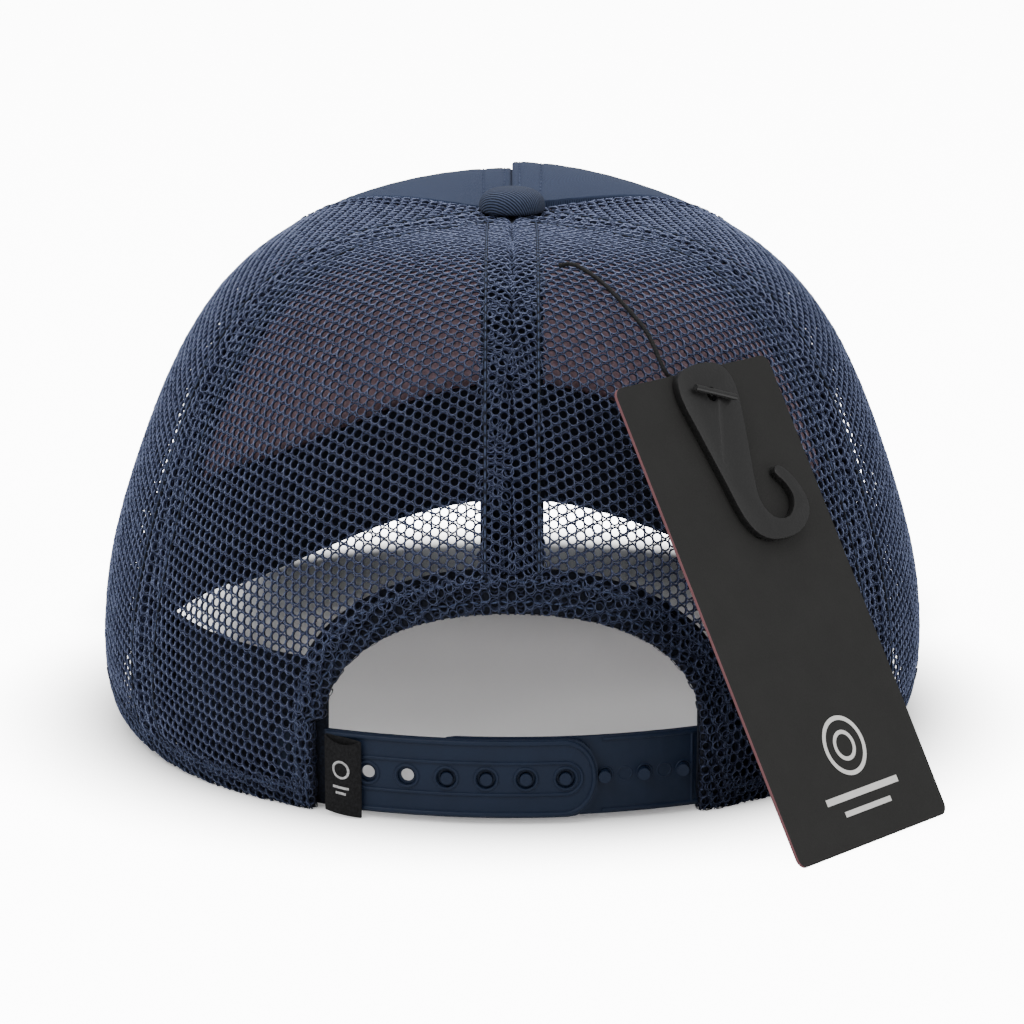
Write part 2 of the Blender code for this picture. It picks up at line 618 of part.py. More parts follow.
def main():
    for obj in list(bpy.data.objects):
        bpy.data.objects.remove(obj, do_unlink=True)
    mats = {
        "mesh": material("navy_mesh", (0.022, 0.036, 0.085), 0.75),
        "hem": material("folded_mesh", (0.020, 0.032, 0.075), 0.8),
        "twill": material("navy_twill", (0.028, 0.044, 0.095), 0.85),
        "backing": material("mauve_backing", (0.13, 0.08, 0.10), 0.9),
        "tape": material("seam_tape", (0.008, 0.010, 0.018), 0.9),
        "band": material("sweatband_cloth", (0.008, 0.010, 0.018), 0.9),
        "button": material("button_twill", (0.030, 0.046, 0.100), 0.85),
        "metal": material("bare_steel", (0.5, 0.5, 0.5), 0.35, 1.0),
        "board": material("brim_board", (0.05, 0.05, 0.055), 0.6),
        "strap": material("navy_plastic", (0.010, 0.020, 0.045), 0.45),
        "label": material("woven_black", (0.012, 0.012, 0.013), 0.9),
        "card": material("charcoal_card", (0.036, 0.036, 0.034), 0.6),
        "hook": material("black_plastic", (0.010, 0.010, 0.010), 0.35),
        "string": material("black_cord", (0.008, 0.008, 0.009), 0.85),
    }
    crown_panels(mats)
    arch_binding(mats)
    seam_tapes(mats)
    sweatband(mats)
    crown_button(mats)
    brim(mats)
    axis = snap_straps(mats)
    woven_label(mats, axis)
    hang_tag(mats)
    tag_hook(mats)
    tag_string(mats)


main()
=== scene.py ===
"""Trucker mesh cap standing on a pale floor, seen from behind.

Lengths are in millimetres and angles in degrees until a piece is put into the scene, where
they become metres.  The crown is one smooth surface, crown(phi, t): phi runs from the front
towards +X, t from the floor to the top.  Every cloth piece is a grid of points at a depth
below that surface.
"""

import math

import bpy
import numpy as np
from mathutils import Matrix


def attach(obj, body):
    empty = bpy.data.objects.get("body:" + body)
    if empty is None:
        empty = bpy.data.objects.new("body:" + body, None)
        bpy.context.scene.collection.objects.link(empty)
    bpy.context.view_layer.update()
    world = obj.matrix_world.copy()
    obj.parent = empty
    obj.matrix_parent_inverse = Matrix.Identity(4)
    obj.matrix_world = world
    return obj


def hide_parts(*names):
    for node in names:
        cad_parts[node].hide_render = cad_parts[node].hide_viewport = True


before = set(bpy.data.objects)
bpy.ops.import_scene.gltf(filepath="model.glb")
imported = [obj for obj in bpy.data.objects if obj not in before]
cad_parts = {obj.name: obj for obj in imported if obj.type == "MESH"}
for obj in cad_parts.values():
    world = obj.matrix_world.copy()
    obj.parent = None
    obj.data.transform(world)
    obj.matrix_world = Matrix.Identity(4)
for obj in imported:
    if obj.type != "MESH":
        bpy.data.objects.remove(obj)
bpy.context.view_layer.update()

MM = 0.001
SHIFT_Y = -20.06

# crown surface
HALF_X, HALF_Y = 96.1, 98.5
WIDEST, TOP = 18.0, 118.0
POWER_W, POWER_Z = 4.36, 1.4
FLARE = 0.035
RISE, RISE_Y, RISE_SX, RISE_SY = 7.0, 40.0, 60.0, 30.0
LOW = 0.1

# bottom edge and bands
TEMPLE, HEM_TEMPLE, HEM_FRONT, HEM_FLAT, HEM_TALL = 50.0, 13.5, 29.0, 138.5, 6.0
ARCH_IN, ARCH_OUT = (41.6, 47.3), (48.0, 55.3)
ARCH_LEG, ARCH_POWER = 20.0, 2.15

# snap straps
STRAP_X, STRAP_ROOT_Y, STRAP_BEND, STRAP_GAP = 41.0, -84.7, 0.0052, 0.8
STRAP_THICK, STRAP_MIDDLE = 1.2, 10.4
TIP_LEFT = 18.5
PITCH, PEG_FIRST = 8.6, -14.2

# tag
TAG_W, TAG_H, TAG_THICK = 52.0, 109.0, 0.9
TAG_CORNER = np.array([60.9, -125.9, 0.45])
TAG_YAW, TAG_LEAN = 48.0, 28.9
TAG_HOLE = (27.3, 102.7)

RNG = np.random.default_rng(7)
SIDES = (("left", -1), ("right", 1))


# ---------------------------------------------------------------- crown surface


def lengths(path):
    """Distance from the start of a path to each of its points."""
    steps = np.linalg.norm(np.diff(path, axis=0), axis=1)
    return np.concatenate([[0], np.cumsum(steps)])


def unit(v):
    """Vectors divided by their own lengths."""
    return v / np.maximum(np.linalg.norm(v, axis=-1, keepdims=True), 1e-12)


def section(t):
    """Width and height share of the upright section: width ** POWER_W + height ** POWER_Z = 1.

    t is spread evenly over the elevation angle, and the distance is found by halving.
    """
    angle = np.clip((t - LOW) / (1 - LOW), 0, 1) * np.pi / 2
    c, s = np.cos(angle), np.sin(angle)
    low, high = np.zeros_like(angle), np.full_like(angle, 1.5)
    for _ in range(40):
        mid = (low + high) / 2
        inside = (mid * c) ** POWER_W + (mid * s) ** POWER_Z < 1
        low, high = np.where(inside, mid, low), np.where(inside, high, mid)
    return low * c, low * s


TABLE_T = np.linspace(0, 1, 2001)
TABLE_W, TABLE_Z = section(TABLE_T)


def crown(phi, t):
    """Ellipse in plan, superellipse upright, slightly narrower near the floor, raised in front."""
    phi, t = np.broadcast_arrays(np.asarray(phi, float), np.asarray(t, float))
    f = np.radians(phi)
    ring = 1 / np.hypot(np.sin(f) / HALF_X, np.cos(f) / HALF_Y)
    wide, tall = np.interp(t, TABLE_T, TABLE_W), np.interp(t, TABLE_T, TABLE_Z)
    low = t < LOW
    floor_height = WIDEST * t / LOW
    height = np.where(low, floor_height, WIDEST + (TOP - WIDEST) * tall)
    wide = np.where(low, 1 - FLARE * ((WIDEST - floor_height) / WIDEST) ** 2, wide)
    full = 1 + 0.017 * np.exp(-(((np.abs(phi) - 102) / 34) ** 2) - ((height - 36) / 24) ** 2)
    full = full + 0.0025 * np.sin(0.115 * phi + 5 * t) * np.sin(9 * t
                                                                + 0.03 * phi) * np.clip(t * 4, 0,
                                                                                        1)
    x, y = ring * wide * full * np.sin(f), ring * wide * full * np.cos(f)
    bump = np.exp(-(((y - RISE_Y) / RISE_SY) ** 2) - (x / RISE_SX) ** 2)
    return np.stack([x, y, height + RISE * bump * np.where(low, 0, tall) ** 2], -1)


def outward(phi, t):
    """Unit direction out of the crown, level below the widest ring."""
    phi, t = np.broadcast_arrays(np.asarray(phi, float), np.asarray(t, float))
    across = crown(phi + 0.3, t) - crown(phi - 0.3, t)
    up = crown(phi, np.minimum(t + 0.003, 1)) - crown(phi, np.maximum(t - 0.003, 0))
    n = unit(np.cross(up, across))
    f = np.radians(phi)
    side = n[..., 0] * np.sin(f) + n[..., 1] * np.cos(f) + 0.3 * n[..., 2]
    n = np.where(side[..., None] < 0, -n, n)
    share = np.clip((t - LOW) / 0.12, 0, 1)
    return unit(n * np.stack([np.ones_like(share), np.ones_like(share), share], -1))


def at_depth(phi, t, depth):
    """Crown point less the depth times the outward direction."""
    return crown(phi, t) - np.asarray(depth, float)[..., None] * outward(phi, t)


def t_at(height):
    """Upright parameter of a height: the section's angle, or its share of the lowest part."""
    height = np.asarray(height, float)
    tall = np.clip((height - WIDEST) / (TOP - WIDEST), 0, 1)
    wide = (1 - tall**POWER_Z) ** (1 / POWER_W)
    upper = LOW + (1 - LOW) * np.arctan2(tall, wide) / (np.pi / 2)
    return np.where(height < WIDEST, LOW * height / WIDEST, upper)


def t_ring(radius):
    """Upright parameter at which the crown is this wide near its top."""
    wide = radius / HALF_X
    tall = (1 - wide**POWER_W) ** (1 / POWER_Z)
    return float(LOW + (1 - LOW) * math.atan2(tall, wide) / (math.pi / 2))


def hem_height(phi):
    """Bottom edge: a squared cosine down to the temple, then half a cosine to the floor."""
    a = np.abs(phi)
    front = HEM_TEMPLE + (HEM_FRONT - HEM_TEMPLE) * np.cos(
        np.clip(a / TEMPLE, 0, 1) * np.pi / 2) ** 2
    share = np.clip((a - TEMPLE) / (HEM_FLAT - TEMPLE), 0, 1)
    return np.where(a < TEMPLE, front, HEM_TEMPLE * (1 + np.cos(share * np.pi)) / 2)


def on_back(x, z):
    """Angle and upright parameter of the back of the crown over X and Z."""
    t = t_at(z)
    wide = np.linalg.norm(crown(180.0, t)[..., :2], axis=-1) / HALF_Y
    phi = 180 - np.degrees(np.arctan2(x, HALF_Y * np.sqrt(wide**2 - (x / HALF_X) ** 2)))
    return phi, t


# ---------------------------------------------------------------- putting meshes in


def put(name, points, faces, mat, body="cap", uv=None, smooth=True, sharp=50.0):
    """Mesh from points in millimetres and equal-sized faces, riding on a body."""
    points = np.asarray(points, float).reshape(-1, 3)
    faces = np.asarray(faces, dtype=np.int32)
    mesh = bpy.data.meshes.new(name)
    mesh.vertices.add(len(points))
    place = (points + np.array([0.0, SHIFT_Y, 0.0])) * MM
    mesh.vertices.foreach_set("co", place.astype(np.float32).ravel())
    count, size = faces.shape
    mesh.loops.add(count * size)
    mesh.loops.foreach_set("vertex_index", faces.ravel())
    mesh.polygons.add(count)
    mesh.polygons.foreach_set("loop_start", np.arange(0, count * size, size, dtype=np.int32))
    mesh.polygons.foreach_set("loop_total", np.full(count, size, dtype=np.int32))
    if uv is not None:
        layer = mesh.uv_layers.new(name="UVMap")
        layer.data.foreach_set("uv", np.asarray(uv, np.float32)[faces.ravel()].ravel())
    mesh.update(calc_edges=True)
    mesh.validate()
    if smooth:
        mesh.shade_smooth()
        if sharp:
            mesh.set_sharp_from_angle(angle=math.radians(sharp))
    obj = bpy.data.objects.new(name, mesh)
    bpy.context.scene.collection.objects.link(obj)
    mesh.materials.append(mat)
    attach(obj, body)
    return obj


def slab_faces(rows, cols):
    """Faces of a closed slab between two grids, the first of them outside."""
    i = np.arange(rows * cols).reshape(rows, cols)
    k = i + rows * cols
    front = np.stack([i[:-1, :-1], i[:-1, 1:], i[1:, 1:], i[1:, :-1]], -1).reshape(-1, 4)
    back = np.stack([k[:-1, :-1], k[1:, :-1], k[1:, 1:], k[:-1, 1:]], -1).reshape(-1, 4)
    rim = np.concatenate([i[0], i[1:, -1], i[-1, -2::-1], i[-2:0:-1, 0]])
    other = rim + rows * cols
    side = np.stack([rim, other, np.roll(other, -1), np.roll(rim, -1)], -1)
    return np.concatenate([front, back, side])


def oriented(points, faces):
    """Turns all faces round if the closed surface is inside out."""
    p = points.reshape(-1, 3)
    a, b, c = p[faces[:, 0]], p[faces[:, 1]], p[faces[:, 2]]
    volume = np.einsum("ij,ij->i", a, np.cross(b, c)).sum()
    if faces.shape[1] == 4:
        d = p[faces[:, 3]]
        volume += np.einsum("ij,ij->i", a, np.cross(c, d)).sum()
    return faces[:, ::-1] if volume < 0 else faces


def slab(name, outer, inner, mat, body="cap", uv=None, sharp=50.0):
    """Closed solid between two grids of points; uv is a grid for both faces."""
    rows, cols = outer.shape[:2]
    points = np.concatenate([outer.reshape(-1, 3), inner.reshape(-1, 3)])
    faces = oriented(points, slab_faces(rows, cols))
    if uv is not None:
        uv = np.concatenate([uv.reshape(-1, 2)] * 2)
    return put(name, points, faces, mat, body, uv, sharp=sharp)


def ring_faces(rings, sides, closed=False):
    """Quads between successive rings of points."""
    k = np.arange(sides)
    last = rings if closed else rings - 1
    a = (np.arange(last) * sides)[:, None] + k
    b = ((np.arange(last) + 1) % rings * sides)[:, None] + k
    return np.stack([a, np.roll(a, -1, 1), np.roll(b, -1, 1), b], -1).reshape(-1, 4)


def frames_along(path, up):
    """Unit tangent, side and up directions along a path, up kept near the given directions."""
    tangent = unit(np.gradient(path, axis=0))
    side = unit(np.cross(tangent, up))
    return tangent, side, np.cross(side, tangent)


def swept(path, up, profile):
    """Points of a closed profile (side, up) carried along a path; grid of path by profile."""
    _, side, top = frames_along(path, up)
    profile = np.asarray(profile, float)
    if profile.ndim == 2:
        profile = np.broadcast_to(profile, (len(path), *profile.shape))
    return (path[:, None] + profile[..., :1] * side[:, None] + profile[..., 1:] * top[:, None])


def tube(name, path, up, profile, mat, body="cap"):
    """Closed tube: a profile along a path with both ends drawn to their middles."""
    grid = swept(path, up, profile)
    ends = [path[:1, None] + 0 * grid[:1], path[-1:, None] + 0 * grid[-1:]]
    grid = np.concatenate([ends[0] + (grid[:1] - ends[0]) * 0.02, grid,
                           ends[1] + (grid[-1:] - ends[1]) * 0.02])
    rings, sides = grid.shape[:2]
    points = grid.reshape(-1, 3)
    faces = oriented(points, ring_faces(rings, sides))
    along = lengths(grid.mean(1))
    uv = np.stack(np.broadcast_arrays(np.arange(sides)[None] / sides, along[:, None]), -1)
    return put(name, points, faces, mat, body, uv.reshape(-1, 2), sharp=60)


def circle(radius, sides):
    """Points round a circle."""
    a = np.linspace(0, 2 * np.pi, sides, endpoint=False)
    return np.stack([radius * np.cos(a), radius * np.sin(a)], -1)


def stitch_template(sides=6, rings=5):
    """Small spindle of unit length and unit half width, along its first axis."""
    x = np.linspace(-0.5, 0.5, rings)
    r = np.sqrt(np.clip(1 - (2 * x) ** 4, 0.04, 1))
    a = np.linspace(0, 2 * np.pi, sides, endpoint=False)
    return np.stack([np.broadcast_to(x[:, None], (rings, sides)),
                     r[:, None] * np.cos(a), r[:, None] * np.sin(a)], -1).reshape(-1, 3)


def stitches(name, path, up, step, long, wide):
    """Row of spindles along a path, one every step, each lying along it and half sunk."""
    path = np.asarray(path, float)
    length = lengths(path)
    count = max(1, int(length[-1] / step))
    at = (np.arange(count) + 0.5) * length[-1] / count
    place = np.stack([np.interp(at, length, path[:, k]) for k in range(3)], -1)
    tangent = unit(np.gradient(path, axis=0))
    tangent = unit(np.stack([np.interp(at, length, tangent[:, k]) for k in range(3)], -1))
    up = np.broadcast_to(np.asarray(up, float), path.shape)
    top = unit(np.stack([np.interp(at, length, up[:, k]) for k in range(3)], -1))
    side = unit(np.cross(tangent, top))
    top = np.cross(side, tangent)
    template = stitch_template()
    p = (place[:, None] + template[None, :, :1] * long * tangent[:, None]
         + template[None, :, 1:2] * wide / 2 * side[:, None]
         + (template[None, :, 2:] * 0.5 * wide) * top[:, None])
    base = ring_faces(5, 6)
    faces = (base[None] + (np.arange(count) * 30)[:, None, None]).reshape(-1, 4)
    a, b, c = p[0][base[0]][:3]
    if np.dot(np.cross(b - a, c - a), a - place[0]) < 0:
        faces = faces[:, ::-1]
    return put(name, p, faces, MATS["thread"], sharp=0)


# ---------------------------------------------------------------- materials


def node_material(name):
    """New material with its node tree and shader."""
    mat = bpy.data.materials.new(name)
    mat.use_nodes = True
    tree = mat.node_tree
    return mat, tree, tree.nodes["Principled BSDF"]


def add(tree, kind, **settings):
    """New node with its sockets or properties set."""
    node = tree.nodes.new(kind)
    for key, value in settings.items():
        if key in node.inputs:
            node.inputs[key].default_value = value
        else:
            setattr(node, key, value)
    return node


def coordinates(tree, kind, scale=(1.0, 1.0, 1.0), turn=(0.0, 0.0, 0.0)):
    """Object or UV coordinates, scaled and turned."""
    source = add(tree, "ShaderNodeTexCoord")
    mapping = add(tree, "ShaderNodeMapping")
    mapping.inputs["Scale"].default_value = scale
    mapping.inputs["Rotation"].default_value = turn
    tree.links.new(source.outputs[kind], mapping.inputs["Vector"])
    return mapping.outputs["Vector"]


def ramp(tree, source, stops):
    """Colour ramp over a value."""
    node = add(tree, "ShaderNodeValToRGB")
    for k, (place, colour) in enumerate(stops):
        element = node.color_ramp.elements[k] if k < 2 else node.color_ramp.elements.new(place)
        element.position = place
        element.color = (*colour, 1.0)
    tree.links.new(source, node.inputs["Fac"])
    return node.outputs["Color"]


def noise(tree, vector, scale, detail=2.0, rough=0.5):
    """Noise value at the given coordinates."""
    node = add(tree, "ShaderNodeTexNoise", Scale=scale, Detail=detail, Roughness=rough)
    tree.links.new(vector, node.inputs["Vector"])
    return node.outputs["Fac"]


def combine(tree, operation, *values):
    """Math node over sockets and plain numbers."""
    node = add(tree, "ShaderNodeMath", operation=operation)
    for k, value in enumerate(values):
        if isinstance(value, float):
            node.inputs[k].default_value = value
        else:
            tree.links.new(value, node.inputs[k])
    return node.outputs[0]


def surface(shader, roughness, shine, **sheen):
    """Numbers that are the same all over a surface."""
    shader.inputs["Roughness"].default_value = roughness
    shader.inputs["Specular IOR Level"].default_value = shine
    for key, value in sheen.items():
        shader.inputs["Sheen " + key].default_value = value


def bump(tree, shader, height, strength, distance):
    """Bump from a height value."""
    node = add(tree, "ShaderNodeBump", Strength=strength, Distance=distance)
    tree.links.new(height, node.inputs["Height"])
    tree.links.new(node.outputs["Normal"], shader.inputs["Normal"])


def fibre_material(name, dark, light, roughness=0.75, sheen=0.04, scale=1400.0):
    """Yarn: a fine noise along the thread mixes its dark and light colours."""
    mat, tree, shader = node_material(name)
    vector = coordinates(tree, "Object")
    colour = ramp(tree, noise(tree, vector, scale, 3.0, 0.6), [(0.35, dark), (0.68, light)])
    tree.links.new(colour, shader.inputs["Base Color"])
    surface(shader, roughness, 0.2, Weight=sheen, Roughness=0.4)
    bump(tree, shader, noise(tree, vector, scale * 1.7, 2.0), 0.5, 0.0002)
    return mat


def yarn_material(name, dark, middle, light, crest=0.55):
    """Mesh yarn: dark at its foot as painted shade and lighter on its crest as a painted highlight,
    broken up by a fleck and by yarn.
    """
    mat, tree, shader = node_material(name)
    source = add(tree, "ShaderNodeTexCoord")
    split = add(tree, "ShaderNodeSeparateXYZ")
    tree.links.new(source.outputs["UV"], split.inputs["Vector"])
    fleck = noise(tree, source.outputs["Object"], 2300.0, 2.0, 0.6)
    # UV height is 1 on the crest for the painted highlight and 0 at the foot for the painted shade
    crest_highlight = combine(tree, "POWER", split.outputs["Y"], 2.2)
    both = combine(tree, "MULTIPLY", crest_highlight, fleck)
    tone_and_crest_highlight = combine(tree, "MULTIPLY_ADD", split.outputs["X"], 0.10, both)
    colour = ramp(tree, tone_and_crest_highlight, [(0.06, dark), (crest, light), (0.28, middle)])
    tree.links.new(colour, shader.inputs["Base Color"])
    surface(shader, 0.6, 0.25)
    return mat


def twill_material(name, dark, light, pitch=0.9, turn=0.9, strength=0.5):
    """Twill: slanting ribs a pitch apart on the UV map, whose units are millimetres."""
    mat, tree, shader = node_material(name)
    vector = coordinates(tree, "UV", turn=(0.0, 0.0, turn))
    wave = add(tree, "ShaderNodeTexWave", wave_type="BANDS", bands_direction="X",
               wave_profile="SIN", Scale=1.0 / pitch * 0.314, Distortion=1.2, Detail=2.0)
    wave.inputs["Detail Scale"].default_value = 2.5
    tree.links.new(vector, wave.inputs["Vector"])
    grain = noise(tree, coordinates(tree, "UV", scale=(3.0, 3.0, 3.0)), 1.0, 4.0, 0.7)
    mix = combine(tree, "MULTIPLY_ADD", grain, 0.9, wave.outputs["Fac"])
    half = combine(tree, "MULTIPLY", mix, 0.55)
    colour = ramp(tree, half, [(0.2, dark), (0.85, light)])
    tree.links.new(colour, shader.inputs["Base Color"])
    surface(shader, 0.85, 0.15, Weight=0.04, Roughness=0.5)
    bump(tree, shader, half, strength, 0.0003)
    return mat


def plastic_material(name, colour, roughness, grain=900.0, strength=0.12, shine=0.35):
    """Moulded plastic: a faint pebbled skin and a slight cloudiness of colour."""
    mat, tree, shader = node_material(name)
    vector = coordinates(tree, "Object")
    light = tuple(min(1.0, c * 1.14) for c in colour)
    tree.links.new(ramp(tree, noise(tree, vector, 120.0, 3.0), [(0.35, colour), (0.75, light)]),
                   shader.inputs["Base Color"])
    surface(shader, roughness, shine)
    bump(tree, shader, noise(tree, vector, grain, 2.0), strength, 0.0002)
    return mat


MATS = {
    # Ring and strand yarns: the ramp from dark to light is painted shade at the foot and a painted
    # highlight on the crest; the strands' pale light colours are painted yarn highlights.
    "ring": yarn_material("mesh_yarn", (0.004, 0.0062, 0.020), (0.016, 0.022, 0.056),
                          (0.056, 0.072, 0.150)),
    "strand": yarn_material("mesh_yarn_painted_highlight", (0.008, 0.012, 0.032), (0.062, 0.078, 0.155),
                            (0.300, 0.350, 0.540), 0.60),
    "fold_ring": yarn_material("fold_yarn", (0.0025, 0.004, 0.012), (0.009, 0.013, 0.034),
                               (0.036, 0.047, 0.098)),
    "fold_strand": yarn_material("fold_yarn_painted_highlight", (0.006, 0.009, 0.025), (0.036, 0.048, 0.098),
                                 (0.200, 0.240, 0.390), 0.60),
    "fold": fibre_material("folded_mesh_cloth", (0.0015, 0.0025, 0.006), (0.004, 0.006, 0.014)),
    "twill": twill_material("navy_twill_cloth", (0.010, 0.017, 0.042), (0.048, 0.066, 0.122), 0.5),
    "button": twill_material("button_cloth", (0.0, 0.001, 0.004), (0.062, 0.082, 0.145), 0.68, 2.2,
                             1.0),
    "backing": fibre_material("backing_cloth", (0.300, 0.190, 0.220), (0.540, 0.380, 0.430), 0.9,
                              0.0, 900.0),
    "tape": fibre_material("tape_cloth", (0.003, 0.004, 0.008), (0.009, 0.012, 0.022), 0.9, 0.0),
    "band": fibre_material("sweatband_cloth_fine", (0.003, 0.004, 0.008), (0.008, 0.011, 0.021),
                           0.9, 0.0),
    "thread": fibre_material("navy_thread", (0.016, 0.024, 0.055), (0.062, 0.082, 0.150), 0.7, 0.0,
                             2200.0),
    "strap": plastic_material("navy_moulded", (0.0045, 0.0105, 0.027), 0.55, shine=0.22),
    "label": fibre_material("label_cloth", (0.003, 0.003, 0.0035), (0.010, 0.010, 0.011), 0.85,
                            0.02, 1800.0),
    "mark": fibre_material("label_mark", (0.25, 0.25, 0.25), (0.55, 0.55, 0.55), 0.8, 0.0, 1800.0),
    "card": plastic_material("charcoal_card_stock", (0.0150, 0.0148, 0.0142), 0.7, 2500.0, 0.25,
                             0.2),
    "edge": plastic_material("card_edge", (0.150, 0.068, 0.074), 0.7, shine=0.1),
    "ink": plastic_material("pale_ink", (0.60, 0.59, 0.57), 0.6, 2500.0, 0.2, 0.1),
    "hook": plastic_material("black_moulded", (0.0055, 0.0055, 0.0055), 0.38, 1500.0, 0.2, 0.5),
    "cord": fibre_material("black_twist", (0.002, 0.002, 0.0025), (0.012, 0.012, 0.013), 0.7, 0.0,
                           2600.0),
    "board": plastic_material("board_stock", (0.05, 0.05, 0.055), 0.6),
    "steel": plastic_material("stud_steel", (0.45, 0.45, 0.46), 0.35),
}
MATS["steel"].node_tree.nodes["Principled BSDF"].inputs["Metallic"].default_value = 1.0


# ---------------------------------------------------------------- camera, light and floor

KEY, WORLD, FLOOR_GLOW = 16.0, 0.5, 11.0
CAMERA_LENS, CAMERA_BACK, CAMERA_HIGH, CAMERA_DOWN = 137.57, 906.0, 0.266, 13.58
# The shaded floor under the crown and in front of it is a painted shadow: the floor's glow fades out
# there.
CROWN_SHADE = 0.0955  # radius in metres of the shaded floor under the crown
FRONT_SHADE, FRONT_SHADE_Y = (0.084, 0.071), 88.0  # half sizes and middle of that in front


def camera():
    """Long lens behind the cap, a little above it and looking down."""
    data = bpy.data.cameras.new("camera")
    data.lens = CAMERA_LENS
    data.sensor_width = 36.0
    data.clip_start, data.clip_end = 0.05, 20.0
    obj = bpy.data.objects.new("camera", data)
    obj.location = (0.0, (-CAMERA_BACK + SHIFT_Y) * MM, CAMERA_HIGH)
    obj.rotation_euler = (math.radians(90 - CAMERA_DOWN), 0.0, 0.0)
    bpy.context.scene.collection.objects.link(obj)
    bpy.context.scene.camera = obj


def lights():
    """Three square soft lamps and a plain white world."""
    for name, place, turn, size, power in (
            ("key", (-0.75, -0.85, 1.25), (41, 0, -41), 0.9, KEY),
            ("fill", (0.95, -0.75, 0.85), (54, 0, 52), 1.0, KEY * 0.45),
            ("top", (0.0, 0.45, 1.4), (-18, 0, 0), 1.4, KEY * 1.3)):
        lamp = bpy.data.lights.new(name, "AREA")
        lamp.shape = "SQUARE"
        lamp.size = size
        lamp.energy = power
        light = bpy.data.objects.new(name, lamp)
        light.location = place
        light.rotation_euler = tuple(math.radians(a) for a in turn)
        bpy.context.scene.collection.objects.link(light)
    world = bpy.data.worlds.new("studio")
    world.use_nodes = True
    background = world.node_tree.nodes["Background"]
    background.inputs["Color"].default_value = (1.0, 1.0, 1.0, 1.0)
    background.inputs["Strength"].default_value = WORLD
    bpy.context.scene.world = world


def floor_distance(tree, half_sizes, middle_y):
    """Distance over the floor from a place on the middle line, 1 on an ellipse round it."""
    place = coordinates(tree, "Object", (1 / half_sizes[0], 1 / half_sizes[1], 0.0))
    place.node.inputs["Location"].default_value = (
        0.0, -(middle_y + SHIFT_Y) * MM / half_sizes[1], 0.0)
    far = add(tree, "ShaderNodeVectorMath", operation="LENGTH")
    tree.links.new(place, far.inputs[0])
    return far.outputs["Value"]


def floor():
    """Pale floor.  It glows for camera rays only, and the glow fades out under the cap, inside the smooth
    minimum of the distances from two ellipses: a painted shadow under the crown and the brim, not cast by
    the lamps."""
    mat, tree, shader = node_material("pale_floor_painted_shadow")
    shader.inputs["Base Color"].default_value = (0.93, 0.93, 0.93, 1.0)
    surface(shader, 0.9, 0.0)
    shader.inputs["Emission Color"].default_value = (1.0, 1.0, 1.0, 1.0)
    seen = add(tree, "ShaderNodeLightPath")
    painted_shadow_distance = combine(tree, "SMOOTH_MIN", floor_distance(tree, (CROWN_SHADE, CROWN_SHADE), 0.0),
                     floor_distance(tree, FRONT_SHADE, FRONT_SHADE_Y), 0.1)
    # painted shadow: the camera-ray glow is faded out under the cap and its brim inside the two ellipses
    painted_shadow_fade = add(tree, "ShaderNodeMapRange", interpolation_type="SMOOTHSTEP")
    tree.links.new(painted_shadow_distance, painted_shadow_fade.inputs["Value"])
    for key, value in (("From Min", 0.92), ("From Max", 1.44),
                       ("To Min", 0.03), ("To Max", FLOOR_GLOW)):
        painted_shadow_fade.inputs[key].default_value = value
    glow = combine(tree, "MULTIPLY", seen.outputs["Is Camera Ray"], painted_shadow_fade.outputs["Result"])
    tree.links.new(glow, shader.inputs["Emission Strength"])
    mesh = bpy.data.meshes.new("floor")
    mesh.from_pydata([(-6, -6, 0), (6, -6, 0), (6, 6, 0), (-6, 6, 0)], [], [(0, 1, 2, 3)])
    mesh.materials.append(mat)
    obj = bpy.data.objects.new("floor", mesh)
    bpy.context.scene.collection.objects.link(obj)


camera()
lights()
floor()


# ---------------------------------------------------------------- tag string


def tag_frame():
    """Directions of the card: to its right, up it and out of its face."""
    yaw, lean = math.radians(TAG_YAW), math.radians(TAG_LEAN)
    right = np.array([math.cos(yaw), math.sin(yaw), 0.0])
    level = np.array([math.sin(yaw), -math.cos(yaw), 0.0])
    up = np.array([0.0, 0.0, math.cos(lean)]) - level * math.sin(lean)
    return right, up, np.cross(right, up)


TAG_RIGHT, TAG_UP, TAG_FACE = tag_frame()


def on_tag(a, b, c):
    """Corner plus a along the card, b up it and c out of its face."""
    a, b, c = (np.asarray(v, float)[..., None] for v in (a, b, c))
    return TAG_CORNER + a * TAG_RIGHT + b * TAG_UP + c * TAG_FACE


def smooth_path(points, spacing):
    """Curve through the points, sampled at about the given spacing."""
    p = np.array(points, float)
    p = np.concatenate([[2 * p[0] - p[1]], p, [2 * p[-1] - p[-2]]])
    out = []
    for k in range(1, len(p) - 2):
        steps = max(1, int(round(np.linalg.norm(p[k + 1] - p[k]) / spacing)))
        s = np.linspace(0, 1, steps, endpoint=False)[:, None]
        a, b, c, d = p[k - 1], p[k], p[k + 1], p[k + 2]
        out.append(0.5 * (2 * b + (c - a) * s + (2 * a - 5 * b + 4 * c - d) * s**2
                          + (3 * b - a - 3 * c + d) * s**3))
    return np.concatenate(out + [p[-2:-1]])


def string_route():
    """Places on the string, from the crown behind the card and out through its hole."""
    start = [(10.5, -51.4, 115.6), (13.8, -53.6, 116.2), (19.5, -58.5, 113.4),
             (25.0, -64.0, 108.6), (29.6, -69.2, 103.6)]
    tail = [(19.6, 111.2, -1.8), (22.5, 108.0, -2.9), (25.6, 104.6, -3.0),
            (27.2, 102.8, -1.6), (27.3, 102.7, 0.6), (27.3, 102.7, 1.7)]
    return np.concatenate([np.array(start), [on_tag(*p) for p in tail]])


